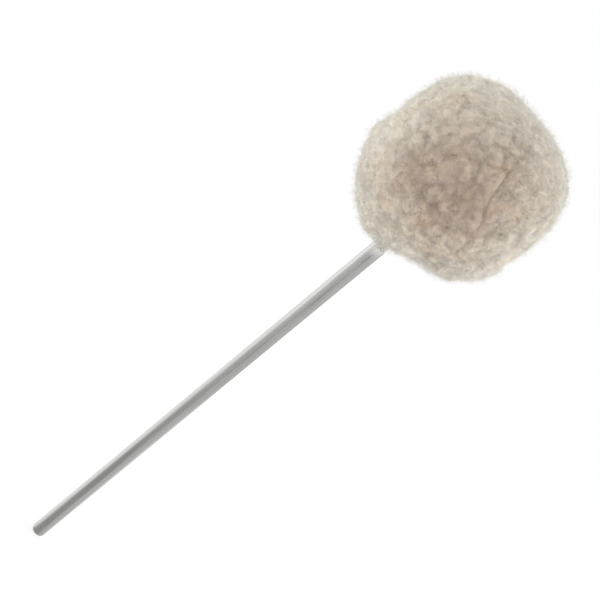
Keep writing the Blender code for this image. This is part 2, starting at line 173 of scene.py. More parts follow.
# In degrees about the stitches' middle: where panels part, how far each panel's edge lies from there,
# and where the stitches' room meets the cavity
PARTING_ANGLE = 45
NOTCH_LEAN = math.degrees(math.asin(FIT / 2 / STITCH_ROOM))
NOTCH_MEETS = math.degrees(math.acos(STITCH_INSET / STITCH_ROOM))

# A notch's first point lies at this share of the room's radius
NOTCH_START = 0.86

# Folds that part the wool on the side that faces the camera, as azimuths and elevations in degrees
FOLDS = (
    ((-111, -11), (-107, -4), (-103, 7), (-96, 14), (-87, 18), (-82, 22), (-76, 23)),
    ((-84, 33), (-74, 35), (-67, 33)),
    ((-87, 11), (-85, 6), (-84, 0), (-81, -5), (-83, -11)),
    ((-119, 19), (-109, 21), (-103, 25)),
    ((-59, -16), (-55, -23), (-51, -29)),
)

# Round tufts on the side that faces the camera: azimuth and elevation in degrees, radius in metres
TUFTS = (
    (-98, 1, 0.0054),
    (-93, 8, 0.0050),
    (-80, 15, 0.0050),
    (-104, -10, 0.0033),
    (-94, -14, 0.0036),
    (-88, 24, 0.0036),
    (-78, 28, 0.0026),
    (-93, 32, 0.0030),
    (-68, -6, 0.0036),
    (-46, -11, 0.0068),
    (-37, -2, 0.0060),
    (-78, -26, 0.0034),
    (-83, -13, 0.0034),
    (-52, 5, 0.0040),
    (-63, -20, 0.0042),
    (-98, -27, 0.0040),
    (-112, -23, 0.0037),
    (-119, 10, 0.0046),
    (-117, 28, 0.0042),
    (-124, -3, 0.0040),
)

# Light brown stains: azimuth and elevation in degrees, radius in metres, strength
STAINS = (
    (-133, 30, 0.0042, 0.55),
    (-109, -24, 0.0035, 0.50),
    (-85, -28, 0.0030, 0.75),
    (-78, 22, 0.0026, 0.80),
    (-103, 8, 0.0036, 0.52),
    (-109, -7, 0.0036, 0.52),
    (-82, -5, 0.0024, 0.45),
    (-73, -33, 0.0050, 0.30),
    (62, 12, 0.0045, 0.45),
    (140, -20, 0.0040, 0.50),
    (20, 62, 0.0040, 0.40),
)

# Sides that are soiled from striking, the one that faces the camera darker also as painted shade: azimuth and
# elevation in degrees, spread in degrees, strength
WORN_AND_SHADED_SIDES = (
    (-84, -4, 44, 1.0),
    (-56, 28, 24, 0.50),
    (-112, -14, 22, 1.0),
    (-52, 12, 16, 0.72),
    (88, 4, 46, 0.8),
)

# Tones of the wool beside the settings' own: clean wool low down, a little darker as painted shade, soiled
# wool that is also painted shade on the side that faces the camera, mottled wool, painted shade in the
# creases, and two tints that its colour is multiplied by in patches and in grains
CLEAN_LOW_WOOL = (0.945, 0.908, 0.812)
SOILED_AND_SHADED_WOOL = (0.695, 0.586, 0.496)
MOTTLED_WOOL = (0.78, 0.67, 0.55)
CREASE_SHADE_WOOL = (0.78, 0.60, 0.47)
WARM_TINT = (1.01, 0.985, 0.945)
GRAIN_TINT = (0.75, 0.69, 0.62)

# The strands of each part, as pieces small enough to export: how many pieces and the first one's seed,
# for the laid strands and for the loose ones
PILE_PIECES = (
    ("band", (5, 40), (2, 200)),
    ("crown", (2, 50), (1, 250)),
    ("base", (2, 40), (1, 200)),
)

# What a number on each square centimetre is times on each square metre
PER_SQUARE_CENTIMETRE = 10000.0

# The floor's drop below the rod's foot, and the lamps: name, place, size and power in watts
FLOOR_GAP = 0.0005
LAMPS = (
    ("overhead", (0.40, 0.42, 1.00), 1.0, 4.1),
    ("left_side", (-1.0, 0.15, 0.05), 0.5, 5.6),
    ("right_side", (1.0, 0.22, 0.16), 0.5, 2.2),
    ("behind", (0.15, 1.1, 0.25), 1.0, 4.0),
    ("front_low", (0.20, -1.05, 0.00), 0.8, 3.2),
)


class ShaftSettings(bpy.types.PropertyGroup):
    """Sizes and finish of the shaft"""

    pitch: FloatProperty(
        name="Thread pitch", description="Rise of one turn of the thread", default=0.00127, unit="LENGTH"
    )
    thread_depth: FloatProperty(
        name="Thread depth", description="Depth of the thread's groove", default=0.00070, unit="LENGTH"
    )
    steel: FloatVectorProperty(
        name="Steel", description="Colour of the drawn steel", default=(0.74, 0.74, 0.725), subtype="COLOR"
    )


class FleeceSettings(bpy.types.PropertyGroup):
    """Form, pile and colours of the lambswool"""

    lock_size: FloatProperty(
        name="Lock size", description="Width of the large locks", default=0.0085, unit="LENGTH"
    )
    lock_height: FloatProperty(
        name="Lock height", description="Depth of the creases between locks", default=0.0015, unit="LENGTH"
    )
    curl_size: FloatProperty(
        name="Curl size", description="Width of the small curls", default=0.0036, unit="LENGTH"
    )
    curl_height: FloatProperty(
        name="Curl height", description="Depth of the creases between curls", default=0.00070, unit="LENGTH"
    )
    fibre_length: FloatProperty(
        name="Fibre length", description="Length of a laid fibre", default=0.0017, unit="LENGTH"
    )
    fibre_thickness: FloatProperty(
        name="Fibre thickness", description="Thickness of a strand of wool", default=0.00010, unit="LENGTH"
    )
    fibres: IntProperty(
        name="Fibres", description="Laid fibres on one square centimetre", default=290, min=0
    )
    hairs: IntProperty(
        name="Hairs", description="Loose hairs on one square centimetre", default=75, min=0
    )
    cream: FloatVectorProperty(
        name="Cream", description="Colour at the tips", default=(0.975, 0.967, 0.890), subtype="COLOR"
    )
    beige: FloatVectorProperty(
        name="Beige", description="Colour deeper in the wool", default=(0.80, 0.69, 0.58), subtype="COLOR"
    )
    stain: FloatVectorProperty(
        name="Stain", description="Colour of the stained wool", default=(0.70, 0.53, 0.37), subtype="COLOR"
    )


class StageSettings(bpy.types.PropertyGroup):
    """Floor, light and camera"""

    lens: FloatProperty(name="Lens", description="Focal length in millimetres", default=54.0)
    elevation: FloatProperty(
        name="Elevation",
        description="How far the camera looks down from level",
        default=math.radians(14.81),
        subtype="ANGLE",
    )
    roll: FloatProperty(
        name="Roll",
        description="Lean of the shaft in the picture",
        default=math.radians(50.15),
        subtype="ANGLE",
    )
    foot_in_view: FloatVectorProperty(
        name="Foot in view",
        description="The foot's place from the camera: right, up and away",
        default=(-0.1158, -0.10173, 0.39688),
        unit="LENGTH",
    )
    sky: FloatProperty(name="Sky", description="Strength of the light from all round", default=0.88)
    front_tone: FloatProperty(
        name="Front tone",
        description="How light the floor in front looks in the steel",
        default=0.35,
        subtype="FACTOR",
    )
    lamps: FloatProperty(name="Lamps", description="Share of the lamps' full power", default=1.0)


def add_node(tree, kind, inputs=None, **settings):
    """A node with its settings made and its inputs set, or linked where a value is a node's output."""
    node = tree.nodes.new(kind)
    for name, value in settings.items():
        setattr(node, name, value)
    for name, value in (inputs or {}).items():
        if isinstance(value, bpy.types.NodeSocket):
            tree.links.new(value, node.inputs[name])
        else:
            node.inputs[name].default_value = value
    return node


def geometry_tree(name, sizes):
    """A Geometry Nodes tree with a geometry input, one named input for each size, and a geometry output."""
    tree = bpy.data.node_groups.new(name, "GeometryNodeTree")
    tree.interface.new_socket("Geometry", in_out="INPUT", socket_type="NodeSocketGeometry")
    for size, value in sizes.items():
        kind = "NodeSocketMaterial" if isinstance(value, bpy.types.Material) else "NodeSocketFloat"
        tree.interface.new_socket(size, in_out="INPUT", socket_type=kind)
    tree.interface.new_socket("Geometry", in_out="OUTPUT", socket_type="NodeSocketGeometry")
    return tree, tree.nodes.new("NodeGroupInput").outputs, tree.nodes.new("NodeGroupOutput").inputs


def calc(tree, operation, first, second=0.0, third=0.0):
    """Output of a Math node."""
    node = add_node(tree, "ShaderNodeMath", {0: first, 1: second, 2: third}, operation=operation)
    return node.outputs[0]


def vector_calc(tree, operation, first, second=(0.0, 0.0, 0.0)):
    """Output of a Vector Math node; for SCALE the second value is the factor."""
    key = "Scale" if operation == "SCALE" else 1
    node = add_node(tree, "ShaderNodeVectorMath", {0: first, key: second}, operation=operation)
    return node.outputs["Value" if operation in ("DOT_PRODUCT", "LENGTH") else "Vector"]


def attribute_of(tree, name, kind="FLOAT"):
    """A named attribute inside a Geometry Nodes tree."""
    node = add_node(tree, "GeometryNodeInputNamedAttribute", {"Name": name}, data_type=kind)
    return node.outputs["Attribute"]


def keep_attribute(tree, geometry, name, value, kind="FLOAT", domain="POINT"):
    """Geometry with a value kept on it as a named attribute."""
    node = add_node(
        tree,
        "GeometryNodeStoreNamedAttribute",
        {"Geometry": geometry, "Name": name, "Value": value},
        data_type=kind,
        domain=domain,
    )
    return node.outputs["Geometry"]


def product(tree, first, *others):
    """Several values multiplied."""
    for value in others:
        first = calc(tree, "MULTIPLY", first, value)
    return first


def vector_of(tree, **parts):
    """A vector from those of its parts X, Y and Z that aren't 0."""
    return add_node(tree, "ShaderNodeCombineXYZ", parts).outputs["Vector"]


def random_vector(tree, low, high, seed):
    """A random vector for each point, between two corners."""
    inputs = {0: low, 1: high, "Seed": seed}
    return add_node(tree, "FunctionNodeRandomValue", inputs, data_type="FLOAT_VECTOR").outputs[0]


def mix_value(tree, factor, first, second):
    """Output of a Mix node for plain values."""
    return add_node(tree, "ShaderNodeMix", {0: factor, 2: first, 3: second}, data_type="FLOAT").outputs[0]


def centred_noise(tree, place, scale, detail):
    """A noise vector whose parts run to both sides of 0."""
    node = add_node(tree, "ShaderNodeTexNoise", {"Vector": place, "Scale": scale, "Detail": detail})
    return vector_calc(tree, "SUBTRACT", node.outputs["Color"], (0.5, 0.5, 0.5))


def end_tree(tree, geometry, given, result):
    """Send the geometry to the tree's output, in the tree's material."""
    node = add_node(tree, "GeometryNodeSetMaterial", {"Geometry": geometry, "Material": given["Material"]})
    tree.links.new(node.outputs["Geometry"], result["Geometry"])


def apply_tree(piece, tree, sizes):
    """Run a tree on a piece with these sizes, and keep the result as the piece's plain mesh."""
    modifier = piece.modifiers.new(tree.name, "NODES")
    modifier.node_group = tree
    for item in tree.interface.items_tree:
        if item.item_type == "SOCKET" and item.in_out == "INPUT" and item.name in sizes:
            modifier[item.identifier] = sizes[item.name]
    bpy.context.view_layer.update()
    depsgraph = bpy.context.evaluated_depsgraph_get()
    mesh = bpy.data.meshes.new_from_object(piece.evaluated_get(depsgraph), depsgraph=depsgraph)
    piece.modifiers.clear()
    old = piece.data
    piece.data = mesh
    bpy.data.meshes.remove(old)


def new_piece(name, mesh, material, replaced=()):
    """An object for a finished mesh, riding with the beater."""
    piece = bpy.data.objects.new(name, mesh)
    bpy.context.scene.collection.objects.link(piece)
    mesh.materials.clear()
    mesh.materials.append(material)
    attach(piece, "root")
    if replaced:
        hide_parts(*replaced)
    return piece


def grid_mesh(name, points, closed_rows, closed_columns, mapped=True):
    """A mesh from points[row, column].

    Its faces look outward where rows run down an outer side and columns run round +Z. Rows and columns that
    aren't closed get a face at each end. The map OFBake lays the grid out flat.
    """
    rows, columns = points.shape[:2]
    row_steps = rows if closed_rows else rows - 1
    column_steps = columns if closed_columns else columns - 1
    row, column = np.meshgrid(np.arange(row_steps), np.arange(column_steps), indexing="ij")
    next_row = (row + 1) % rows
    next_column = (column + 1) % columns
    corners = np.stack(
        [
            row * columns + column,
            next_row * columns + column,
            next_row * columns + next_column,
            row * columns + next_column,
        ],
        axis=-1,
    ).reshape(-1, 4)
    mesh = bpy.data.meshes.new(name)
    mesh.from_pydata(points.reshape(-1, 3).tolist(), [], corners.tolist())
    if mapped:
        across = np.stack([column, column, column + 1, column + 1], axis=-1) / column_steps
        along = np.stack([row, row + 1, row + 1, row], axis=-1) / row_steps
        flat = np.stack([across, 1 - along], axis=-1).reshape(-1, 2)
        mesh.uv_layers.new(name="OFBake").uv.foreach_set("vector", flat.astype(np.float32).ravel())
    if not closed_rows:
        close_ends(mesh, np.arange(columns), (rows - 1) * columns + np.arange(columns)[::-1])
    if not closed_columns:
        close_ends(mesh, np.arange(rows) * columns, np.arange(rows)[::-1] * columns + columns - 1)
    mesh.shade_smooth()
    return mesh


def close_ends(mesh, first, last):
    """Close a sweep's two ends with one face each, from the numbers of their points."""
    shape = bmesh.new()
    shape.from_mesh(mesh)
    shape.verts.ensure_lookup_table()
    for ring in (first, last):
        shape.faces.new([shape.verts[index] for index in ring])
    shape.to_mesh(mesh)
    shape.free()


def ring_points(radius, height, turn):
    """Points[row, column] round the rod's axis: radii and heights by row, angles by column."""
    level = np.broadcast_to(height, np.broadcast_shapes(height.shape, turn.shape))
    return np.stack([radius * np.cos(turn), radius * np.sin(turn), level], axis=-1)


def turned(section, turn):
    """Points[row, column] of a section's radii and heights turned round the rod's axis."""
    radius, height = np.array(section, float).T[..., None]
    return ring_points(radius, height, turn)


def coat(node, material):
    """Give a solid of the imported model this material."""
    NODES[node].data.materials.clear()
    NODES[node].data.materials.append(material)


def shader_tree(name):
    """A material, its node tree and the Principled shader in it."""
    material = bpy.data.materials.new(name)
    material.use_nodes = True
    tree = material.node_tree
    return material, tree, tree.nodes["Principled BSDF"]


def set_shader(shader, **values):
    """Plain values on the shader's own sockets; a name's underscores stand for spaces."""
    for name, value in values.items():
        shader.inputs[name.replace("_", " ")].default_value = value


def mix_colour(tree, factor, first, second, blend="MIX"):
    """Output of a colour Mix node, whose colours are its inputs 6 and 7 and its output 2."""
    node = add_node(tree, "ShaderNodeMix", data_type="RGBA", blend_type=blend)
    for key, value in ((0, factor), (6, first), (7, second)):
        if isinstance(value, bpy.types.NodeSocket):
            tree.links.new(value, node.inputs[key])
        elif key == 0:
            node.inputs[key].default_value = value
        else:
            node.inputs[key].default_value = (*value, 1.0)
    return node.outputs[2]


def ramp(tree, value, low, high, start=0.0, end=1.0):
    """A value eased from one range to another."""
    node = add_node(
        tree,
        "ShaderNodeMapRange",
        {"Value": value, "From Min": low, "From Max": high, "To Min": start, "To Max": end},
        interpolation_type="SMOOTHSTEP",
    )
    return node.outputs["Result"]


def noise(tree, place, scale, detail=2.0, roughness=0.5):
    """Noise over a place: the node's factor."""
    inputs = {"Vector": place, "Scale": scale, "Detail": detail, "Roughness": roughness}
    return add_node(tree, "ShaderNodeTexNoise", inputs).outputs["Fac"]


def add_bump(tree, shader, height, distance, strength=1.0):
    """Bump on a shader from a height between 0 and 1 and its depth in metres."""
    bump = add_node(tree, "ShaderNodeBump", {"Height": height, "Distance": distance, "Strength": strength})
    tree.links.new(bump.outputs["Normal"], shader.inputs["Normal"])


def object_place(tree):
    """Object coordinates in a material."""
    return tree.nodes.new("ShaderNodeTexCoord").outputs["Object"]


def stretched(tree, place, scale):
    """Places scaled by a Mapping node, for grain that runs along one axis."""
    return add_node(tree, "ShaderNodeMapping", {"Vector": place, "Scale": scale}).outputs["Vector"]


def steel_material(settings):
    """Drawn steel: fine lines along the rod, dull patches from handling, and a few dark specks."""
    material, tree, shader = shader_tree("drawn_steel")
    place = object_place(tree)
    lines = noise(tree, stretched(tree, place, (3200, 3200, 24)), 1.0, 3.0)
    patches = noise(tree, stretched(tree, place, (160, 160, 40)), 1.0, 3.0, 0.6)
    streaks = noise(tree, stretched(tree, place, (900, 900, 9)), 1.0, 2.0)
    specks = ramp(tree, noise(tree, place, 1500, 2.0), 0.70, 0.78)
    steel = tuple(settings.steel)
    dark = tuple(0.72 * value for value in steel)
    light = tuple(min(1.0, 1.22 * value) for value in steel)
    colour = mix_colour(tree, ramp(tree, lines, 0.35, 0.75, 0.0, 0.45), steel, dark)
    colour = mix_colour(tree, ramp(tree, streaks, 0.50, 0.68, 0.0, 0.8), colour, light)
    colour = mix_colour(tree, calc(tree, "MULTIPLY", specks, 0.35), colour, (0.20, 0.17, 0.14))
    tree.links.new(colour, shader.inputs["Base Color"])
    tree.links.new(ramp(tree, patches, 0.3, 0.7, 0.20, 0.34), shader.inputs["Roughness"])
    set_shader(shader, Metallic=1.0)
    add_bump(tree, shader, lines, 0.00002)
    return material


def zinc_material():
    """Zinc plate: a bluish grey with a fine mottle."""
    material, tree, shader = shader_tree("zinc_plate")
    mottle = noise(tree, object_place(tree), 900, 3.0)
    colour = mix_colour(tree, ramp(tree, mottle, 0.3, 0.7), (0.60, 0.62, 0.65), (0.70, 0.71, 0.73))
    tree.links.new(colour, shader.inputs["Base Color"])
    tree.links.new(ramp(tree, mottle, 0.3, 0.7, 0.30, 0.48), shader.inputs["Roughness"])
    set_shader(shader, Metallic=1.0)
    return material


def wood_material():
    """Turned beech: long grain up the core with short darker flecks, and faint tool rings."""
    material, tree, shader = shader_tree("turned_beech")
    place = object_place(tree)
    grain = noise(tree, stretched(tree, place, (260, 260, 14)), 1.0, 4.0, 0.6)
    flecks = ramp(tree, noise(tree, stretched(tree, place, (1800, 1800, 220)), 1.0, 1.0), 0.60, 0.72)
    colour = mix_colour(tree, ramp(tree, grain, 0.3, 0.7), (0.66, 0.47, 0.29), (0.52, 0.34, 0.19))
    colour = mix_colour(tree, calc(tree, "MULTIPLY", flecks, 0.5), colour, (0.36, 0.21, 0.11))
    tree.links.new(colour, shader.inputs["Base Color"])
    set_shader(shader, Roughness=0.62)
    rings = add_node(
        tree, "ShaderNodeTexWave", {"Vector": place, "Scale": 320.0, "Distortion": 0.6}, bands_direction="Z"
    )
    add_bump(tree, shader, rings.outputs["Fac"], 0.00004, 0.5)
    return material


def felt_material():
    """Pressed wool felt: matted short fibres in two greys."""
    material, tree, shader = shader_tree("wool_felt")
    place = object_place(tree)
    fibres = noise(tree, place, 2600, 5.0, 0.7)
    clouds = noise(tree, place, 260, 3.0)
    colour = mix_colour(tree, ramp(tree, fibres, 0.3, 0.7), (0.56, 0.54, 0.50), (0.80, 0.78, 0.73))
    colour = mix_colour(tree, ramp(tree, clouds, 0.35, 0.7, 0.0, 0.3), colour, (0.60, 0.52, 0.43))
    tree.links.new(colour, shader.inputs["Base Color"])
    set_shader(shader, Roughness=0.95, Sheen_Weight=0.3, Sheen_Roughness=0.5)
    add_bump(tree, shader, fibres, 0.00015)
    return material


def thread_material():
    """Waxed cotton: pale, with a slight gloss and fine fibres."""
    material, tree, shader = shader_tree("waxed_cotton")
    fibres = noise(tree, object_place(tree), 5200, 3.0)
    colour = mix_colour(tree, ramp(tree, fibres, 0.3, 0.7), (0.72, 0.67, 0.58), (0.88, 0.85, 0.78))
    tree.links.new(colour, shader.inputs["Base Color"])
    set_shader(shader, Roughness=0.55)
    add_bump(tree, shader, fibres, 0.00005)
    return material


def wool_colour(tree, settings, depth, crease, stain):
    """The wool's colour by how deep a place lies in it, with soiling, clouds, mottle, grain and stains, and
    painted shade: darker deep in the wool, in the creases and on the side that faces the camera.
    """
    place = object_place(tree)
    clouds = ramp(tree, noise(tree, place, 62, 3.0, 0.55), 0.44, 0.68, 0.0, 0.16)
    mottle = noise(tree, place, 420, 3.0, 0.6)
    hue = ramp(tree, noise(tree, place, 300, 2.0, 0.5), 0.34, 0.66)
    grain = ramp(tree, noise(tree, place, 4200, 2.0, 0.7), 0.60, 0.40, 0.0, 0.80)
    # Soiled from striking; on the side that faces the camera the darker colour is also painted shade
    worn_and_shade = shader_attribute(tree, "worn_and_shade")
    low = mix_colour(tree, worn_and_shade, CLEAN_LOW_WOOL, tuple(settings.beige))
    # Pale at the tips and darker deeper in the wool: painted shade
    colour = mix_colour(tree, ramp(tree, depth, 0.0, 1.0), tuple(settings.cream), low)
    soiled_and_shaded = calc(tree, "ADD", clouds, calc(tree, "MULTIPLY", worn_and_shade, 0.97))
    colour = mix_colour(tree, soiled_and_shaded, colour, SOILED_AND_SHADED_WOOL)
    colour = mix_colour(tree, ramp(tree, mottle, 0.52, 0.75, 0.0, 0.16), colour, MOTTLED_WOOL)
    # Darker in the creases: painted shade
    colour = mix_colour(tree, ramp(tree, crease, 0.35, 1.0, 0.0, 0.40), colour, CREASE_SHADE_WOOL)
    tint = mix_colour(tree, hue, (1.0, 1.0, 1.0), WARM_TINT)
    colour = mix_colour(tree, 1.0, colour, tint, "MULTIPLY")
    colour = mix_colour(tree, grain, colour, GRAIN_TINT, "MULTIPLY")
    patchy = calc(tree, "MULTIPLY", stain, ramp(tree, mottle, 0.30, 0.62, 0.35, 1.0))
    return mix_colour(tree, patchy, colour, tuple(settings.stain))


def shader_attribute(tree, name):
    """A mesh attribute's value in a material."""
    node = add_node(tree, "ShaderNodeAttribute", attribute_name=name, attribute_type="GEOMETRY")
    return node.outputs["Fac"]


def wool_ground_material(settings):
    """The matted wool below the loose fibres."""
    material, tree, shader = shader_tree("wool_ground")
    crease = shader_attribute(tree, "crease")
    stain = shader_attribute(tree, "stain")
    mat = noise(tree, object_place(tree), 2400, 4.0, 0.65)
    # How deep a place lies: its crease, painted darker as shade, and a matted noise
    depth = calc(tree, "ADD", calc(tree, "MULTIPLY", crease, 0.6), ramp(tree, mat, 0.3, 0.7, 0.1, 0.5))
    tree.links.new(wool_colour(tree, settings, depth, crease, stain), shader.inputs["Base Color"])
    set_shader(shader, Roughness=0.95, Specular_IOR_Level=0.15, Sheen_Weight=0.25, Sheen_Roughness=0.5)
    set_shader(shader, Subsurface_Weight=0.5, Subsurface_Radius=(0.0007, 0.0006, 0.0005))
    set_shader(shader, Subsurface_Scale=1.0)
    add_bump(tree, shader, mat, 0.00035)
    return material


def wool_fibre_material(settings):
    """A strand of wool: deeper in tone at its root, pale at its top, as painted shade deeper in the wool and
    in creases.
    """
    material, tree, shader = shader_tree("wool_fibre")
    crease = shader_attribute(tree, "crease")
    stain = shader_attribute(tree, "stain")
    rise = shader_attribute(tree, "rise")
    own = shader_attribute(tree, "own_tone")
    # How deep a strand's colour sits: crease and root painted darker as shade, and its own random tone
    sunk = calc(tree, "ADD", calc(tree, "MULTIPLY", crease, 0.55), calc(tree, "MULTIPLY", own, 0.68))
    depth = calc(tree, "SUBTRACT", calc(tree, "ADD", sunk, -0.02), calc(tree, "MULTIPLY", rise, 0.40))
    tree.links.new(wool_colour(tree, settings, depth, crease, stain), shader.inputs["Base Color"])
    set_shader(shader, Roughness=0.95, Specular_IOR_Level=0.12, Sheen_Weight=0.15, Sheen_Roughness=0.5)
    set_shader(shader, Subsurface_Weight=0.6, Subsurface_Radius=(0.0006, 0.0006, 0.0005))
    set_shader(shader, Subsurface_Scale=1.0)
    return material


def direction(azimuth, elevation):
    """Unit vectors from azimuths and elevations in radians, as an array with one more axis."""
    flat = np.cos(elevation)
    return np.stack([flat * np.cos(azimuth), flat * np.sin(azimuth), np.sin(elevation)], axis=-1)


def way_to(azimuth, elevation):
    """Unit vector from an azimuth and an elevation in degrees."""
    return direction(math.radians(azimuth), math.radians(elevation))


def elevation_of(points):
    """Elevations in radians of points round the head's middle."""
    return np.arctan2(points[..., 2], np.hypot(points[..., 0], points[..., 1]))


def turn_between(ways, way):
    """Angles in radians between unit vectors and one more unit vector."""
    return np.arccos(np.clip(ways @ way, -1, 1))


def bell(far, width):
    """1 at no distance, and less and less beyond a width."""
    return np.exp(-((far / width) ** 2))


def cover_radius(ways):
    """How far the cover reaches from the head's middle along each way: even form, swells and neck."""
    across = np.hypot(ways[..., 0], ways[..., 1]) / (CAVITY_RADIUS + COVER_DEPTH)
    along = np.abs(ways[..., 2]) / (CAVITY_HALF_HEIGHT + COVER_DEPTH)
    reach = (across**COVER_SQUARENESS + along**COVER_SQUARENESS) ** (-1 / COVER_SQUARENESS)
    for azimuth, elevation, height, spread in COVER_SWELLS:
        reach = reach + height * bell(turn_between(ways, way_to(azimuth, elevation)), math.radians(spread))
    return reach - NECK_DEPTH * bell(turn_between(ways, np.array((0.0, 0.0, -1.0))), NECK_SPREAD)


def cover_place(azimuth, elevation):
    """The cover's point at an azimuth and an elevation in degrees."""
    way = way_to(azimuth, elevation)
    return way * cover_radius(way[None])[0]


def distance_to_path(points, path):
    """Least distance in metres from each point to a path on the cover, given as azimuths and elevations."""
    turns = np.radians(np.array(path, float))
    ways = direction(turns[:, 0], turns[:, 1])
    corners = ways * cover_radius(ways)[:, None]
    least = np.full(points.shape[:-1], 1.0)
    for start, end in zip(corners[:-1], corners[1:]):
        run = end - start
        share = np.clip(((points - start) @ run) / (run @ run), 0, 1)
        least = np.minimum(least, np.linalg.norm(points - start - share[..., None] * run, axis=-1))
    return least


def distance_to_rings(points):
    """Distance in metres along the cover from each point to the nearer ring seam."""
    return np.abs(np.abs(elevation_of(points)) - SEAM_ELEVATION) * np.linalg.norm(points, axis=-1)


def along_side_seam(elevation, column):
    """A column of SIDE_SEAM_WAY, by elevation in radians: 0 is the azimuth in degrees and 2 the openness."""
    way = np.array(SIDE_SEAM_WAY, float)
    return np.interp(np.degrees(elevation), way[:, 1], way[:, column])


def seam_fold(points):
    """Depth from 0 to 1 of the dips over the sewn seams, at points round the head's middle."""
    side = distance_to_path(points, [(azimuth, height) for azimuth, height, _ in SIDE_SEAM_WAY])
    side_dip = along_side_seam(elevation_of(points), 2) * bell(side, SIDE_DIP_WIDTH)
    return np.maximum(RING_DIP_SHARE * bell(distance_to_rings(points), RING_DIP_WIDTH), side_dip)


def wavered(points, amount, tightness, order, phases):
    """Points pushed to and fro in waves, so that a fold or an edge measured from them isn't too even."""
    return points + amount * np.sin(points[..., order] * tightness + np.array(phases))


def free_fold(points):
    """Depth from 0 to 1 of the free folds, which waver a little on their way."""
    places = wavered(points, 0.0006, 900, [1, 2, 0], (0.3, 1.9, 4.1))
    deepest = np.zeros(points.shape[:-1])
    for path in FOLDS:
        deepest = np.maximum(deepest, bell(distance_to_path(places, path), FOLD_WIDTH))
    return deepest


def least_rise(points):
    """How far each point has to rise, or may sink where below 0, so that wool hides the rings' stitches."""
    stitch_top = math.hypot(SEAM_RADIUS, SEAM_HALF_HEIGHT) + STITCH_REACH + THREAD_RADIUS
    past_stitches = np.maximum(distance_to_rings(points) - WOOL_OVER_STITCH_HALF_WIDTH, 0.0)
    least_reach = stitch_top + WOOL_OVER_STITCH - WOOL_OVER_STITCH_SLOPE * past_stitches
    return least_reach - np.linalg.norm(points, axis=-1)


def tuft_rise(points):
    """How high each point stands on one of the set tufts, from 0 at its edge to 1 on top, and 0 off them."""
    places = wavered(points, 0.0005, 700, [2, 0, 1], (2.2, 0.4, 3.6))
    highest = np.zeros(points.shape[:-1])
    for azimuth, elevation, radius in TUFTS:
        far = np.linalg.norm(places - cover_place(azimuth, elevation), axis=-1) / radius
        highest = np.maximum(highest, np.sqrt(np.clip(1 - far**2, 0, 1)))
    return highest


def stain_strength(points):
    """How stained each point is, from 0 to 1."""
    strongest = np.zeros(points.shape[:-1])
    for azimuth, elevation, radius, strength in STAINS:
        far = np.linalg.norm(points - cover_place(azimuth, elevation), axis=-1)
        strongest = np.maximum(strongest, strength * bell(far, radius))
    return strongest


def worn_and_shade_strength(points):
    """How soiled each point is from striking, from 0 to 1: most on the two sides that meet the drum; on the
    side that faces the camera this darkening is also painted shade.
    """
    ways = points / np.maximum(np.linalg.norm(points, axis=-1, keepdims=True), 1e-9)
    strongest = np.zeros(points.shape[:-1])
    for azimuth, elevation, spread, strength in WORN_AND_SHADED_SIDES:
        turn = turn_between(ways, way_to(azimuth, elevation))
        strongest = np.maximum(strongest, strength * bell(turn, math.radians(spread)))
    return strongest


def store(mesh, name, values, kind="FLOAT"):
    """A point attribute on a mesh."""
    attribute = mesh.attributes.new(name, kind, "POINT")
    key = "vector" if kind == "FLOAT_VECTOR" else "value"
    attribute.data.foreach_set(key, np.asarray(values, np.float32).ravel())


def outward(azimuth, elevation):
    """Unit normals of the cover's form, from how its radius changes with the angles."""
    step = 0.004
    ends = [
        direction(azimuth + a * step, elevation + e * step) for a, e in ((1, 0), (-1, 0), (0, 1), (0, -1))
    ]
    east, west, up, down = [ways * cover_radius(ways)[..., None] for ways in ends]
    normal = np.cross(east - west, up - down)
    return normal / np.linalg.norm(normal, axis=-1, keepdims=True)


def stitch_notch(first, last, steps=4):
    """Section of the room round the upper seam's stitches, from a first to a last angle in degrees."""
    radius = STITCH_ROOM / math.cos(math.radians(abs(last - first)) / steps / 2)
    angles = np.radians(np.linspace(first, last, steps + 1))
    radii = [NOTCH_START * STITCH_ROOM] + [radius] * steps
    return [
        (SEAM_RADIUS + reach * math.cos(angle), SEAM_HALF_HEIGHT + reach * math.sin(angle))
        for reach, angle in zip(radii, angles)
    ]


def panel_points(azimuths, elevations, inner, follows_seam=False):
    """Points[row, column] of a panel: its outer side down the elevations, then its inner section back up.

    The section lists radii and heights round the head's middle. The azimuths and elevations of the outer side
    come with the points.
    """
    elevation, azimuth = np.meshgrid(elevations, azimuths, indexing="ij")
    if follows_seam:
        azimuth = azimuth + np.radians(along_side_seam(elevation, 0)) - SIDE_SEAM_AZIMUTH
    ways = direction(azimuth, elevation)
    outer = ways * cover_radius(ways)[..., None]
    return np.concatenate([outer, turned(inner, azimuths)]), azimuth, elevation


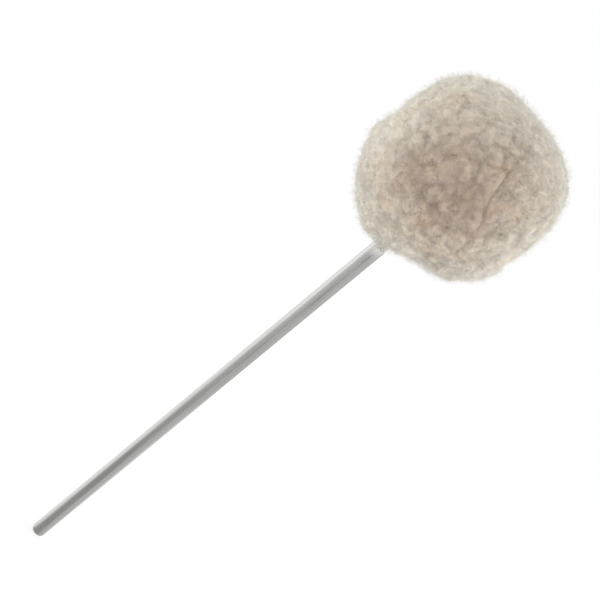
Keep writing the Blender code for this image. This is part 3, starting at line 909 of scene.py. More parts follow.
def panel_mesh(name, points, azimuth, elevation, closed_rows, closed_columns):
    """A panel's mesh with the attributes that shape and colour its wool, set round the head's middle.

    Only the outer side has pile. The hide's other points keep plain values, which nothing shows.
    """
    mesh = grid_mesh(name, points + np.array(HEAD), closed_rows, closed_columns)
    flat = points.reshape(-1, 3)
    count = len(flat)
    outer = azimuth.size
    sharpen_border(mesh, azimuth.shape, closed_rows, closed_columns)
    pile = np.zeros(count)
    pile[:outer] = 1.0
    normal = np.zeros((count, 3))
    normal[:, 2] = 1.0
    normal[:outer] = outward(azimuth, elevation).reshape(-1, 3)
    seam = np.zeros(count)
    seam[:outer] = seam_fold(flat[:outer])
    free = np.zeros(count)
    free[:outer] = free_fold(flat[:outer])
    store(mesh, "pile", pile)
    store(mesh, "grow", normal, "FLOAT_VECTOR")
    store(mesh, "seam_fold", seam)
    store(mesh, "free_fold", free)
    store(mesh, "tuft", tuft_rise(flat) * pile)
    store(mesh, "least_rise", least_rise(flat))
    store(mesh, "stain", stain_strength(flat) * pile)
    store(mesh, "worn_and_shade", worn_and_shade_strength(flat) * pile)
    return mesh


def sharpen_border(mesh, outer_shape, closed_rows, closed_columns):
    """Sharp edges round a panel's outer side, so that the cut hide doesn't shade the wool beside a seam."""
    rows, columns = outer_shape
    outer = rows * columns
    border = np.zeros(len(mesh.vertices), bool)
    border[outer - columns : outer] = True
    if closed_rows:
        border[:columns] = True
    if not closed_columns:
        border[:outer:columns] = True
        border[columns - 1 : outer : columns] = True
    ends = np.zeros(2 * len(mesh.edges), np.int32)
    mesh.edges.foreach_get("vertices", ends)
    mesh.edges.foreach_set("use_edge_sharp", border[ends].reshape(-1, 2).all(axis=1))


def domes(tree, place, size):
    """Round tops over cells of a size: 1 on the tops and down to 0 in the creases between them."""
    node = add_node(
        tree,
        "ShaderNodeTexVoronoi",
        {"Vector": place, "Scale": calc(tree, "DIVIDE", 1.0, size), "Randomness": 1.0, "Smoothness": 0.30},
        feature="SMOOTH_F1",
    )
    reach = node.outputs["Distance"]
    top = calc(tree, "MULTIPLY_ADD", product(tree, reach, reach), -1.7, 1.0)
    return calc(tree, "MAXIMUM", top, 0.0)


def drawn_share(tree, place):
    """How far the wool is drawn out sideways: 0 at the head's middle, and 1 towards its crown."""
    height = add_node(tree, "ShaderNodeSeparateXYZ", {0: place}).outputs["Z"]
    return ramp(tree, height, HEAD_Z + DRAWN_FROM, HEAD_Z + DRAWN_TO)


def wool_form_tree(settings, material):
    """Geometry Nodes that raise the locks and curls on a panel and note how deep its creases are."""
    sizes = {
        "Lock Size": settings.lock_size,
        "Lock Height": settings.lock_height,
        "Curl Size": settings.curl_size,
        "Curl Height": settings.curl_height,
        "Grain Size": 0.0011,
        "Grain Height": 0.00035,
        "Seam Depth": 0.0009,
        "Fold Depth": 0.0008,
        "Material": material,
    }
    tree, given, result = geometry_tree("wool_form", sizes)
    place = tree.nodes.new("GeometryNodeInputPosition").outputs[0]
    drift = vector_calc(tree, "SCALE", centred_noise(tree, place, 130.0, 2.0), 0.006)
    bent_place = vector_calc(tree, "ADD", place, drift)
    drawn_place = vector_calc(tree, "MULTIPLY", bent_place, (0.30, 1.0, 1.0))
    drawn = drawn_share(tree, place)
    tuft = attribute_of(tree, "tuft")
    on_tuft = ramp(tree, tuft, 0.02, 0.35)

    lock = domes(tree, bent_place, given["Lock Size"])
    lock = fade(tree, lock, calc(tree, "MULTIPLY_ADD", drawn, -0.50, 1.0))
    lock = fade(tree, lock, ramp(tree, noise(tree, place, 55.0, 2.0), 0.36, 0.60, 0.35, 1.0))
    lock = mix_value(tree, on_tuft, lock, calc(tree, "MULTIPLY_ADD", tuft, 0.95, 0.28))
    round_curl = domes(tree, bent_place, given["Curl Size"])
    long_curl = domes(tree, drawn_place, given["Curl Size"])
    curl = mix_value(tree, drawn, round_curl, long_curl)
    curl = fade(tree, curl, ramp(tree, noise(tree, place, 90.0, 2.0), 0.34, 0.62, 0.40, 1.0))
    curl = fade(tree, curl, calc(tree, "MULTIPLY_ADD", on_tuft, -0.5, 1.0))
    grain = noise(tree, place, calc(tree, "DIVIDE", 1.0, given["Grain Size"]), 3.0, 0.6)

    lock_down = product(tree, calc(tree, "SUBTRACT", lock, 1.0), given["Lock Height"])
    curl_down = product(tree, calc(tree, "SUBTRACT", curl, 1.0), given["Curl Height"])
    curl_down = product(tree, curl_down, calc(tree, "MULTIPLY_ADD", drawn, 1.7, 1.0))
    grain_up = product(tree, calc(tree, "SUBTRACT", grain, 0.5), given["Grain Height"])
    seam = product(tree, attribute_of(tree, "seam_fold"), given["Seam Depth"])
    fold = product(tree, attribute_of(tree, "free_fold"), given["Fold Depth"])
    total = calc(tree, "ADD", calc(tree, "ADD", lock_down, curl_down), grain_up)
    total = calc(tree, "SUBTRACT", calc(tree, "SUBTRACT", total, seam), fold)
    total = calc(tree, "MAXIMUM", total, attribute_of(tree, "least_rise"))
    total = product(tree, total, attribute_of(tree, "pile"))
    offset = vector_calc(tree, "SCALE", attribute_of(tree, "grow", "FLOAT_VECTOR"), total)
    moved = add_node(tree, "GeometryNodeSetPosition", {"Geometry": given["Geometry"], "Offset": offset})

    broken = ramp(tree, noise(tree, place, 260.0, 2.0), 0.36, 0.60, 0.25, 0.85)
    lines = calc(tree, "MAXIMUM", attribute_of(tree, "seam_fold"), attribute_of(tree, "free_fold"))
    soft = ramp(tree, lock, 0.60, 0.05, 0.0, 0.65)
    fine = ramp(tree, curl, 0.60, 0.0, 0.0, 0.45)
    crease = calc(tree, "MAXIMUM", product(tree, lines, broken), calc(tree, "ADD", soft, fine))
    end_tree(tree, keep_attribute(tree, moved.outputs["Geometry"], "crease", crease), given, result)
    return tree, sizes


def fade(tree, form, strength):
    """A form that is 1 on top and 0 in its creases, with the creases made shallower by a strength below 1."""
    depth = calc(tree, "SUBTRACT", 1.0, form)
    return calc(tree, "SUBTRACT", 1.0, product(tree, depth, strength))


def strand(tree, length, height, thickness):
    """A single arched strand with three sides, its root at the origin, and rise from 0 to 1 along it."""
    middle = vector_of(tree, X=product(tree, length, 0.35), Z=product(tree, height, 1.9))
    end = vector_of(tree, X=length, Z=product(tree, height, 0.35))
    arch = add_node(
        tree,
        "GeometryNodeCurveQuadraticBezier",
        {"Resolution": 3, "Start": (0.0, 0.0, -0.0003), "Middle": middle, "End": end},
    )
    along = tree.nodes.new("GeometryNodeSplineParameter").outputs["Factor"]
    marked = keep_attribute(tree, arch.outputs[0], "rise", along)
    taper = add_node(
        tree,
        "ShaderNodeMapRange",
        {"Value": along, "From Min": 0.5, "From Max": 1.0, "To Min": 1.0, "To Max": 0.25},
    ).outputs["Result"]
    thinned = add_node(tree, "GeometryNodeSetCurveRadius", {"Curve": marked, "Radius": taper})
    ring = add_node(
        tree,
        "GeometryNodeCurvePrimitiveCircle",
        {"Resolution": 3, "Radius": product(tree, thickness, 0.5)},
        mode="RADIUS",
    )
    index = tree.nodes.new("GeometryNodeInputIndex").outputs[0]
    ring_marked = keep_attribute(tree, ring.outputs["Curve"], "side", product(tree, index, 0.4))
    tube = add_node(
        tree,
        "GeometryNodeCurveToMesh",
        {"Curve": thinned.outputs["Curve"], "Profile Curve": ring_marked, "Fill Caps": True},
    )
    return tube.outputs["Mesh"]


def wool_pile_tree(settings, material):
    """Geometry Nodes that lay strands over a panel's wool, gather them into curls and crimp them."""
    sizes = {
        "Strands": float(settings.fibres),
        "Length": settings.fibre_length,
        "Height": 0.0008,
        "Thickness": settings.fibre_thickness,
        "Crimp": 0.0005,
        "Gather": 0.30,
        "Map Side": 100.0,
        "Seed": 1.0,
        "Material": material,
    }
    tree, given, result = geometry_tree("wool_pile", sizes)
    on_outside = calc(tree, "GREATER_THAN", attribute_of(tree, "pile"), 0.99)
    spread = add_node(
        tree,
        "GeometryNodeDistributePointsOnFaces",
        {
            "Mesh": given["Geometry"],
            "Density": product(tree, given["Strands"], PER_SQUARE_CENTIMETRE, on_outside),
            "Seed": given["Seed"],
        },
        distribute_method="RANDOM",
    )
    index = tree.nodes.new("GeometryNodeInputIndex").outputs[0]
    place = tree.nodes.new("GeometryNodeInputPosition").outputs[0]
    tone = add_node(tree, "FunctionNodeRandomValue", {"Seed": given["Seed"]}, data_type="FLOAT").outputs[1]
    points = keep_attribute(tree, spread.outputs["Points"], "strand", index)
    points = keep_attribute(tree, points, "own_tone", tone)
    points = keep_attribute(tree, points, "root", place, "FLOAT_VECTOR")

    grow = attribute_of(tree, "grow", "FLOAT_VECTOR")
    stand = vector_calc(tree, "ADD", spread.outputs["Normal"], grow)
    swirl = vector_calc(tree, "SCALE", centred_noise(tree, place, 210.0, 1.0), 6.0)
    own_seed = calc(tree, "ADD", given["Seed"], 7.0)
    own = vector_calc(tree, "SCALE", random_vector(tree, (-1.0, -1.0, -1.0), (1.0, 1.0, 1.0), own_seed), 0.8)
    nap = vector_calc(tree, "SCALE", (1.0, 0.0, 0.0), product(tree, drawn_share(tree, place), 1.6))
    way = vector_calc(tree, "ADD", vector_calc(tree, "ADD", swirl, own), nap)
    up_turn = add_node(tree, "FunctionNodeAlignRotationToVector", {"Vector": stand}, axis="Z")
    turn = add_node(
        tree,
        "FunctionNodeAlignRotationToVector",
        {"Rotation": up_turn.outputs["Rotation"], "Vector": way},
        axis="X",
        pivot_axis="Z",
    )
    stretch_seed = calc(tree, "ADD", given["Seed"], 13.0)
    stretch = random_vector(tree, (0.55, 1.0, 0.4), (1.25, 1.0, 1.6), stretch_seed)
    shorter_in_creases = ramp(tree, attribute_of(tree, "crease"), 0.10, 0.80, 1.0, 0.5)
    laid = add_node(
        tree,
        "GeometryNodeInstanceOnPoints",
        {
            "Points": points,
            "Instance": strand(tree, given["Length"], given["Height"], given["Thickness"]),
            "Rotation": turn.outputs["Rotation"],
            "Scale": vector_calc(tree, "SCALE", stretch, shorter_in_creases),
        },
    )
    real = add_node(tree, "GeometryNodeRealizeInstances", {"Geometry": laid.outputs["Instances"]})

    rise = attribute_of(tree, "rise")
    shift = vector_calc(tree, "SCALE", (0.004, 0.007, 0.005), attribute_of(tree, "own_tone"))
    wave = centred_noise(tree, vector_calc(tree, "ADD", place, shift), 750.0, 1.0)
    crimp = vector_calc(tree, "SCALE", wave, product(tree, given["Crimp"], rise, 4.0))
    root = attribute_of(tree, "root", "FLOAT_VECTOR")
    tuft = add_node(tree, "ShaderNodeTexVoronoi", {"Vector": root, "Scale": 520.0}, feature="F1")
    pull = vector_calc(tree, "SUBTRACT", tuft.outputs["Position"], root)
    outward_pull = vector_calc(tree, "SCALE", grow, vector_calc(tree, "DOT_PRODUCT", pull, grow))
    flat_pull = vector_calc(tree, "SUBTRACT", pull, outward_pull)
    gather = vector_calc(tree, "SCALE", flat_pull, product(tree, given["Gather"], rise, rise))
    bent = add_node(
        tree,
        "GeometryNodeSetPosition",
        {"Geometry": real.outputs["Geometry"], "Offset": vector_calc(tree, "ADD", crimp, gather)},
    )

    number = attribute_of(tree, "strand")
    column = calc(tree, "FLOORED_MODULO", number, given["Map Side"])
    row = calc(tree, "FLOOR", calc(tree, "DIVIDE", number, given["Map Side"]))
    across = calc(tree, "ADD", column, calc(tree, "MULTIPLY_ADD", attribute_of(tree, "side"), 0.9, 0.14))
    along = calc(tree, "ADD", row, calc(tree, "MULTIPLY_ADD", rise, 0.76, 0.12))
    across = calc(tree, "DIVIDE", across, given["Map Side"])
    along = calc(tree, "DIVIDE", along, given["Map Side"])
    flat = vector_of(tree, X=across, Y=along)
    mapped = keep_attribute(tree, bent.outputs["Geometry"], "OFBake", flat, "FLOAT2", "CORNER")
    smooth = add_node(tree, "GeometryNodeSetShadeSmooth", {"Geometry": mapped})
    end_tree(tree, smooth.outputs["Geometry"], given, result)
    return tree, sizes


class BEATER_OT_shaft(bpy.types.Operator):
    """Turn the steel shaft: rounded foot, plain rod, relief groove and a helical thread"""

    bl_idname = "beater.shaft"
    bl_label = "Shaft"

    def execute(self, context):
        settings = context.scene.beater_shaft
        thread_start = TIP_Z - THREAD_LENGTH
        plain = self.plain_rod(thread_start)
        threaded = [(SHAFT_RADIUS, z) for z in np.arange(thread_start, TIP_Z, settings.pitch / 10)]
        radius, height = np.array(plain + threaded, float).T[..., None]
        turn = np.linspace(0, 2 * np.pi, 48, endpoint=False)
        cut = self.thread_cut(height, turn, thread_start, settings)
        cut[: len(plain)] = 0.0
        points = ring_points(radius - cut, height, turn)[::-1]
        mesh = grid_mesh("steel_shaft", points, False, True, mapped=False)
        mesh.set_sharp_from_angle(angle=math.radians(50))
        new_piece("steel_shaft", mesh, steel_material(settings), ("shaft",))
        return {"FINISHED"}

    def plain_rod(self, thread_start):
        """Radii and heights up the rod's rounded foot, its plain length and the groove below the thread."""
        groove_start = thread_start - GROOVE_WIDTH
        groove_radius = SHAFT_RADIUS - GROOVE_DEPTH
        rows = []
        for step in range(7):
            angle = math.radians(15 * step)
            radius = SHAFT_RADIUS - FOOT_ROUNDING * (1 - math.sin(angle))
            rows.append((radius, FOOT_Z + FOOT_ROUNDING * (1 - math.cos(angle))))
        plain_end = groove_start - 2 * GROOVE_ROUNDING
        rows += [(SHAFT_RADIUS, z) for z in np.linspace(FOOT_Z + 0.004, plain_end, 40)]
        rows.append((SHAFT_RADIUS - 0.00008, groove_start - GROOVE_ROUNDING))
        rows.append((groove_radius, groove_start))
        rows.append((groove_radius, thread_start - GROOVE_ROUNDING))
        return rows

    def thread_cut(self, height, turn, thread_start, settings):
        """How deep each point of the thread is cut, with its run-in and the tip's bevel."""
        above_start = height - thread_start
        phase = above_start / settings.pitch - turn[None] / (2 * np.pi)
        flank = np.abs(phase - np.round(phase)) * 2
        groove = settings.thread_depth * np.clip((CREST_EDGE - flank) / FLANK_WIDTH, 0, 1)
        groove = groove * np.clip(above_start / (1.5 * settings.pitch), 0, 1)
        shoulder = GROOVE_DEPTH * (1 - np.clip(above_start / THREAD_LEAD, 0, 1))
        bevel = TIP_BEVEL * (1 - np.clip((TIP_Z - height) / TIP_BEVEL, 0, 1))
        return np.maximum(np.maximum(groove, shoulder), bevel)


class BEATER_OT_fasteners(bpy.types.Operator):
    """Give the nuts and washers their zinc plate"""

    bl_idname = "beater.fasteners"
    bl_label = "Nuts and washers"

    def execute(self, context):
        zinc = zinc_material()
        for name in ("lower_nut", "lower_washer", "upper_washer", "lock_washer", "upper_nut"):
            coat(name, zinc)
        return {"FINISHED"}


class BEATER_OT_core(bpy.types.Operator):
    """Give the wooden core its grain"""

    bl_idname = "beater.core"
    bl_label = "Wooden core"

    def execute(self, context):
        coat("wood_core", wood_material())
        return {"FINISHED"}


def felt_nap_tree(material):
    """Geometry Nodes that make a felt face uneven, only ever inwards."""
    sizes = {"Nap Size": 0.0016, "Nap Height": 0.00016, "Material": material}
    tree, given, result = geometry_tree("felt_nap", sizes)
    place = tree.nodes.new("GeometryNodeInputPosition").outputs[0]
    lumps = noise(tree, place, calc(tree, "DIVIDE", 1.0, given["Nap Size"]), 3.0, 0.6)
    sunk = product(tree, ramp(tree, lumps, 0.3, 0.7, -1.0, 0.0), given["Nap Height"])
    normal = tree.nodes.new("GeometryNodeInputNormal").outputs[0]
    offset = vector_calc(tree, "SCALE", normal, sunk)
    uneven = add_node(tree, "GeometryNodeSetPosition", {"Geometry": given["Geometry"], "Offset": offset})
    end_tree(tree, uneven.outputs["Geometry"], given, result)
    return tree, sizes


class BEATER_OT_felt(bpy.types.Operator):
    """Wrap the core in felt: a strip with a butt joint and a disc at each end"""

    bl_idname = "beater.felt"
    bl_label = "Felt"

    def execute(self, context):
        felt = felt_material()
        tree, sizes = felt_nap_tree(felt)
        joint = FELT_JOINT / FELT_RADIUS / 2
        strip = np.linspace(joint, 2 * math.pi - joint, 121) + SIDE_SEAM_AZIMUTH + math.pi
        ring = np.linspace(0, 2 * math.pi, 120, endpoint=False)
        for node, inner, rounding, turn in (
            ("felt_wrap", CORE_RADIUS + FIT, 0.0006, strip),
            ("felt_lower_disc", BORE_RADIUS, 0.0009, ring),
            ("felt_upper_disc", 0.0, 0.0009, ring),
        ):
            low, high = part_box(node)
            points = turned(self.section(inner, high.x, low.z, high.z, rounding), turn)
            mesh = grid_mesh(node, points, inner > 0, turn is ring, mapped=False)
            piece = new_piece(f"soft_{node}", mesh, felt, (node,))
            apply_tree(piece, tree, sizes)
        return {"FINISHED"}

    def section(self, inner, outer, bottom, top, rounding):
        """Radii and heights down the outer side and back up the inner one, with rounded outer edges."""
        corners = []
        for centre_z, first in ((top - rounding, 90), (bottom + rounding, 0)):
            for step in range(5):
                angle = math.radians(first - 22.5 * step)
                radius = outer - rounding + rounding * math.cos(angle)
                corners.append((radius, centre_z + rounding * math.sin(angle)))
        across = np.linspace(max(inner, CLOSED_RADIUS), corners[0][0], 7)[:-1]
        face_top = [(radius, top) for radius in across]
        face_bottom = [(radius, bottom) for radius in reversed(across)]
        down = [(outer, z) for z in np.linspace(corners[4][1], corners[5][1], 9)[1:-1]]
        inner_wall = [(inner, z) for z in np.linspace(bottom, top, 8)[1:-1]] if inner > 0 else []
        return face_top + corners[:5] + down + corners[5:] + face_bottom + inner_wall


def whip_stitch_tree(material):
    """Geometry Nodes that wind a two-ply thread round a seam's line, one turn for each stitch.

    The number of stitches is set for each seam.
    """
    sizes = {
        "Stitches": 1.0,
        "Reach": STITCH_REACH,
        "Ply Radius": THREAD_RADIUS * 0.54,
        "Twist Pitch": 0.0024,
        "Material": material,
    }
    tree, given, result = geometry_tree("whip_stitches", sizes)
    turn = product(tree, attribute_of(tree, "share"), given["Stitches"], 2 * math.pi)
    aside = vector_calc(tree, "SCALE", attribute_of(tree, "out", "FLOAT_VECTOR"), calc(tree, "COSINE", turn))
    above = vector_calc(tree, "SCALE", attribute_of(tree, "over", "FLOAT_VECTOR"), calc(tree, "SINE", turn))
    offset = vector_calc(tree, "SCALE", vector_calc(tree, "ADD", aside, above), given["Reach"])
    line = add_node(tree, "GeometryNodeMeshToCurve", {0: given["Geometry"]}).outputs[0]
    wound = add_node(tree, "GeometryNodeSetPosition", {"Geometry": line, "Offset": offset})
    length = tree.nodes.new("GeometryNodeSplineParameter").outputs["Length"]
    twist = product(tree, calc(tree, "DIVIDE", length, given["Twist Pitch"]), 2 * math.pi)
    twisted = add_node(tree, "GeometryNodeSetCurveTilt", {"Curve": wound.outputs["Geometry"], "Tilt": twist})
    ply = add_node(
        tree,
        "GeometryNodeCurvePrimitiveCircle",
        {"Resolution": 6, "Radius": given["Ply Radius"]},
        mode="RADIUS",
    )
    plies = tree.nodes.new("GeometryNodeJoinGeometry")
    for side in (-0.85, 0.85):
        beside = vector_of(tree, X=product(tree, given["Ply Radius"], side))
        moved = add_node(
            tree, "GeometryNodeTransform", {"Geometry": ply.outputs["Curve"], "Translation": beside}
        )
        tree.links.new(moved.outputs["Geometry"], plies.inputs["Geometry"])
    tube = add_node(
        tree,
        "GeometryNodeCurveToMesh",
        {
            "Curve": twisted.outputs["Curve"],
            "Profile Curve": plies.outputs["Geometry"],
            "Fill Caps": True,
        },
    )
    smooth = add_node(tree, "GeometryNodeSetShadeSmooth", {"Geometry": tube.outputs["Mesh"]})
    end_tree(tree, smooth.outputs["Geometry"], given, result)
    return tree, sizes


class BEATER_OT_stitches(bpy.types.Operator):
    """Whip the panels together with waxed thread: a ring round each end and a row up the side"""

    bl_idname = "beater.stitches"
    bl_label = "Stitches"

    def execute(self, context):
        tree, sizes = whip_stitch_tree(thread_material())
        span = 2 * math.pi - SEAM_END_GAP / SEAM_RADIUS
        stitches = round(span * SEAM_RADIUS / STITCH_PITCH)
        share = np.linspace(0, 1, stitches * STEPS_PER_STITCH + 1)
        out = direction(SIDE_SEAM_AZIMUTH + span * share, np.zeros_like(share))
        for node, side in (("crown_seam_thread", 1.0), ("base_seam_thread", -1.0)):
            over = np.broadcast_to((0.0, 0.0, side), out.shape)
            line = SEAM_RADIUS * out + SEAM_HALF_HEIGHT * over + np.array(HEAD)
            self.sew(node, line, share, out, over, tree, dict(sizes, Stitches=float(stitches)))
        half_length = SIDE_SEAM_HALF_LENGTH - THREAD_RADIUS
        stitches = round(2 * half_length / STITCH_PITCH)
        share = np.linspace(0, 1, stitches * STEPS_PER_STITCH + 1)
        azimuth = np.full_like(share, SIDE_SEAM_AZIMUTH)
        line = SEAM_RADIUS * direction(azimuth, np.zeros_like(share)) + np.array(HEAD)
        line[:, 2] += half_length * (2 * share - 1)
        out = np.broadcast_to((1.0, 0.0, 0.0), line.shape)
        over = np.broadcast_to((0.0, 1.0, 0.0), line.shape)
        self.sew("side_seam_thread", line, share, out, over, tree, dict(sizes, Stitches=float(stitches)))
        return {"FINISHED"}

    def sew(self, node, line, share, out, over, tree, sizes):
        """One thread along a seam's line, from the two ways across it at each point."""
        mesh = bpy.data.meshes.new(node)
        steps = [(index, index + 1) for index in range(len(line) - 1)]
        mesh.from_pydata(line.tolist(), steps, [])
        store(mesh, "share", share)
        store(mesh, "out", out, "FLOAT_VECTOR")
        store(mesh, "over", over, "FLOAT_VECTOR")
        piece = new_piece(f"sewn_{node}", mesh, sizes["Material"], (node,))
        apply_tree(piece, tree, sizes)


class BEATER_OT_fleece(bpy.types.Operator):
    """Make the cover's band, crown and base of matted wool, with their locks, seams and folds"""

    bl_idname = "beater.fleece"
    bl_label = "Fleece panels"

    def execute(self, context):
        settings = context.scene.beater_fleece
        ground = wool_ground_material(settings)
        tree, sizes = wool_form_tree(settings, ground)
        for part, mesh in (("band", self.band()), ("crown", self.crown()), ("base", self.base())):
            piece = new_piece(f"wool_{part}", mesh, ground, (f"fleece_{part}",))
            apply_tree(piece, tree, sizes)
        return {"FINISHED"}

    def band(self):
        """The band round the side, open along the side seam."""
        azimuths = SIDE_SEAM_AZIMUTH + np.linspace(EDGE_TURN, 2 * math.pi - EDGE_TURN, 601)
        elevations = np.linspace(SEAM_ELEVATION - EDGE_TURN, -SEAM_ELEVATION + EDGE_TURN, 150)
        upper = stitch_notch(PARTING_ANGLE - NOTCH_LEAN, NOTCH_MEETS - 180)
        inner = [(radius, -height) for radius, height in upper] + upper[::-1]
        points, azimuth, elevation = panel_points(azimuths, elevations, inner, True)
        return panel_mesh("wool_band", points, azimuth, elevation, True, False)

    def crown(self):
        """The panel over the far end, whose small flat in the middle closes it."""
        elevations = np.linspace(math.radians(89.8), SEAM_ELEVATION + EDGE_TURN, 76)
        inner = [*self.end_notch(), (CLOSED_RADIUS, CAVITY_HALF_HEIGHT)]
        points, azimuth, elevation = panel_points(self.all_round(), elevations, inner)
        return panel_mesh("wool_crown", points, azimuth, elevation, False, True)

    def base(self):
        """The panel at the rod, with the rod's hole."""
        lowest = -math.acos((BORE_RADIUS + ROOM_AT_ROD) / REACH_AT_ROD)
        elevations = np.linspace(-SEAM_ELEVATION - EDGE_TURN, lowest, 72)
        inner = [(BORE_RADIUS, -CAVITY_HALF_HEIGHT)]
        inner += [(radius, -height) for radius, height in reversed(self.end_notch())]
        points, azimuth, elevation = panel_points(self.all_round(), elevations, inner)
        return panel_mesh("wool_base", points, azimuth, elevation, True, True)

    def all_round(self):
        """Azimuths of an end panel's columns."""
        return np.linspace(-math.pi, math.pi, 400, endpoint=False)

    def end_notch(self):
        """An end panel's share of the room round the stitches, as it is at the crown."""
        return stitch_notch(PARTING_ANGLE + NOTCH_LEAN, 270 - NOTCH_MEETS)


class BEATER_OT_pile(bpy.types.Operator):
    """Lay the loose strands over the matted wool"""

    bl_idname = "beater.pile"
    bl_label = "Pile"

    def execute(self, context):
        settings = context.scene.beater_fleece
        tree, sizes = wool_pile_tree(settings, wool_fibre_material(settings))
        loose = {"Length": 0.0013, "Height": 0.0019, "Thickness": 0.000045, "Crimp": 0.0009, "Gather": 0.1}
        for part, (pile_pieces, pile_seed), (fuzz_pieces, fuzz_seed) in PILE_PIECES:
            ground = bpy.data.objects[f"wool_{part}"]
            for kind, changes, strands, pieces, seed in (
                ("pile", {}, settings.fibres, pile_pieces, pile_seed),
                ("fuzz", loose, settings.hairs, fuzz_pieces, fuzz_seed),
            ):
                for number in range(pieces):
                    mesh = ground.data.copy()
                    name = f"{kind}_{part}_{number + 1}"
                    piece = new_piece(name, mesh, mesh.materials[0])
                    own = {"Strands": strands / pieces, "Seed": float(seed + number)}
                    apply_tree(piece, tree, {**sizes, **changes, **own})
        return {"FINISHED"}


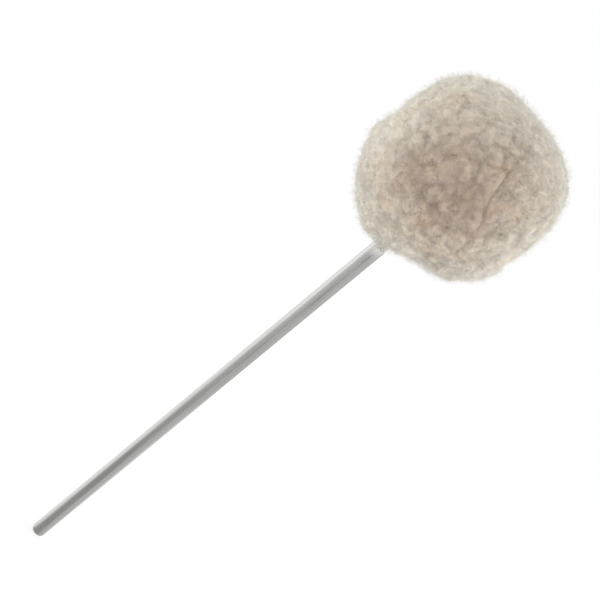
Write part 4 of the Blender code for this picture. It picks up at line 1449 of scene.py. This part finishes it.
class BEATER_OT_stage(bpy.types.Operator):
    """Set the camera, the floor and the soft light"""

    bl_idname = "beater.stage"
    bl_label = "Stage"

    def execute(self, context):
        settings = context.scene.beater_stage
        self.camera(context, settings)
        self.floor(context, settings)
        self.world(context, settings)
        self.lamps(context, settings)
        context.scene.view_settings.view_transform = "Standard"
        return {"FINISHED"}

    def camera(self, context, settings):
        """A camera turned by the settings' angles, with the rod's foot at its set place in the view."""
        data = bpy.data.cameras.new("camera")
        data.lens = settings.lens
        data.sensor_width = 36.0
        data.clip_start = 0.01
        data.clip_end = 20.0
        camera = bpy.data.objects.new("camera", data)
        context.scene.collection.objects.link(camera)
        level_up = Vector((0.0, math.sin(settings.elevation), math.cos(settings.elevation)))
        right = math.cos(settings.roll) * Vector((1, 0, 0)) + math.sin(settings.roll) * level_up
        up = math.cos(settings.roll) * level_up - math.sin(settings.roll) * Vector((1, 0, 0))
        away = Vector((0.0, math.cos(settings.elevation), -math.sin(settings.elevation)))
        across, above, far = settings.foot_in_view
        place = Vector((0, 0, FOOT_Z)) - right * across - up * above - away * far
        turn = Matrix((right, up, -away)).transposed().to_4x4()
        camera.matrix_world = Matrix.Translation(place) @ turn
        context.scene.camera = camera

    def floor(self, context, settings):
        """A floor that is plain to the lamps, white to the camera and toned where the steel mirrors it."""
        bpy.ops.mesh.primitive_plane_add(size=8.0, location=(0, 0, FOOT_Z - FLOOR_GAP))
        floor = context.object
        floor.name = "floor"
        material, tree, shader = shader_tree("pale_floor")
        set_shader(shader, Base_Color=(0.92, 0.92, 0.92, 1.0), Roughness=0.9)
        glow = add_node(tree, "ShaderNodeEmission", {"Color": (1, 1, 1, 1), "Strength": 1.0})
        path = tree.nodes.new("ShaderNodeLightPath").outputs
        place = object_place(tree)
        level = vector_calc(tree, "MULTIPLY", place, (1.0, 1.0, 0.0))
        from_rod = vector_calc(tree, "LENGTH", level)
        darker = calc(tree, "SUBTRACT", self.mirrored_tone(tree, place, from_rod, settings), 1.0)
        strength = calc(tree, "ADD", product(tree, path["Is Glossy Ray"], darker), 1.0)
        tree.links.new(strength, glow.inputs["Strength"])
        near_share = calc(tree, "MULTIPLY_ADD", ramp(tree, from_rod, 0.25, 0.9), 0.14, 0.86)
        share = self.seen_share(tree, path, product(tree, path["Is Camera Ray"], near_share))
        mixed = add_node(tree, "ShaderNodeMixShader", {0: share, 1: shader.outputs[0], 2: glow.outputs[0]})
        tree.links.new(mixed.outputs[0], tree.nodes["Material Output"].inputs["Surface"])
        floor.data.materials.append(material)

    def mirrored_tone(self, tree, place, from_rod, settings):
        """The floor's tone in the steel by bearing from the rod: pale to the left, darker in front."""
        spot = add_node(tree, "ShaderNodeSeparateXYZ", {0: place}).outputs
        bearing = calc(tree, "ARCTAN2", spot["Y"], spot["X"])
        out = ramp(tree, from_rod, 0.08, 0.40)
        front_tone = calc(tree, "MULTIPLY_ADD", out, 0.15, settings.front_tone)
        right_tone = calc(tree, "MULTIPLY_ADD", out, -0.10, 0.68)
        left = ramp(tree, bearing, math.radians(-176), math.radians(-126), 0.95, front_tone)
        right = ramp(tree, bearing, math.radians(-88), math.radians(35), front_tone, right_tone)
        behind = ramp(tree, bearing, math.radians(40), math.radians(95))
        tone = calc(tree, "MAXIMUM", calc(tree, "MAXIMUM", left, right), behind)
        off_dark_streak = calc(tree, "ABSOLUTE", calc(tree, "ADD", bearing, math.radians(74)))
        dark_streak = ramp(tree, off_dark_streak, 0.0, math.radians(18), 0.28, 0.0)
        return calc(tree, "SUBTRACT", tone, product(tree, dark_streak, out))

    def seen_share(self, tree, path, camera_share):
        """How much of a surface's white a ray sees: all of it in a mirror or through glass, none as light."""
        share = calc(tree, "MAXIMUM", camera_share, path["Is Glossy Ray"])
        return calc(tree, "MAXIMUM", share, path["Is Transmission Ray"])

    def world(self, context, settings):
        """Even light from all round, behind a white that the camera sees."""
        world = bpy.data.worlds.new("studio")
        context.scene.world = world
        world.use_nodes = True
        tree = world.node_tree
        sky = tree.nodes["Background"]
        sky.inputs["Color"].default_value = (1.0, 1.0, 1.0, 1.0)
        sky.inputs["Strength"].default_value = settings.sky
        white = add_node(tree, "ShaderNodeBackground", {"Color": (1, 1, 1, 1), "Strength": 1.0})
        path = tree.nodes.new("ShaderNodeLightPath").outputs
        share = self.seen_share(tree, path, path["Is Camera Ray"])
        mixed = add_node(tree, "ShaderNodeMixShader", {0: share, 1: sky.outputs[0], 2: white.outputs[0]})
        tree.links.new(mixed.outputs[0], tree.nodes["World Output"].inputs["Surface"])

    def lamps(self, context, settings):
        """Square soft lamps that all face the head."""
        for name, place, size, power in LAMPS:
            data = bpy.data.lights.new(name, "AREA")
            data.shape = "SQUARE"
            data.size = size
            data.energy = power * settings.lamps
            lamp = bpy.data.objects.new(name, data)
            context.scene.collection.objects.link(lamp)
            lamp.visible_glossy = False
            lamp.visible_camera = False
            lamp.location = place
            lamp.rotation_euler = (HEAD - Vector(place)).to_track_quat("-Z", "Y").to_euler()


class BEATER_PT_panel(bpy.types.Panel):
    """Lists the steps that make the beater"""

    bl_idname = "BEATER_PT_panel"
    bl_label = "Bass drum beater"
    bl_space_type = "VIEW_3D"
    bl_region_type = "UI"
    bl_category = "Beater"

    def draw(self, context):
        for group in ("beater_shaft", "beater_fleece", "beater_stage"):
            settings = getattr(context.scene, group)
            box = self.layout.box()
            for name in settings.__annotations__:
                box.prop(settings, name)
        for operator in OPERATORS:
            self.layout.operator(operator.bl_idname)


OPERATORS = (
    BEATER_OT_shaft,
    BEATER_OT_fasteners,
    BEATER_OT_core,
    BEATER_OT_felt,
    BEATER_OT_stitches,
    BEATER_OT_fleece,
    BEATER_OT_pile,
    BEATER_OT_stage,
)
GROUPS = {"beater_shaft": ShaftSettings, "beater_fleece": FleeceSettings, "beater_stage": StageSettings}


def register():
    for kind in (*GROUPS.values(), *OPERATORS, BEATER_PT_panel):
        bpy.utils.register_class(kind)
    for name, kind in GROUPS.items():
        setattr(bpy.types.Scene, name, PointerProperty(type=kind))


def unregister():
    for name in GROUPS:
        delattr(bpy.types.Scene, name)
    for kind in reversed((*GROUPS.values(), *OPERATORS, BEATER_PT_panel)):
        bpy.utils.unregister_class(kind)


def main():
    register()
    bpy.ops.beater.shaft()
    bpy.ops.beater.fasteners()
    bpy.ops.beater.core()
    bpy.ops.beater.felt()
    bpy.ops.beater.stitches()
    bpy.ops.beater.fleece()
    bpy.ops.beater.pile()
    bpy.ops.beater.stage()


if __name__ == "__main__":
    main()
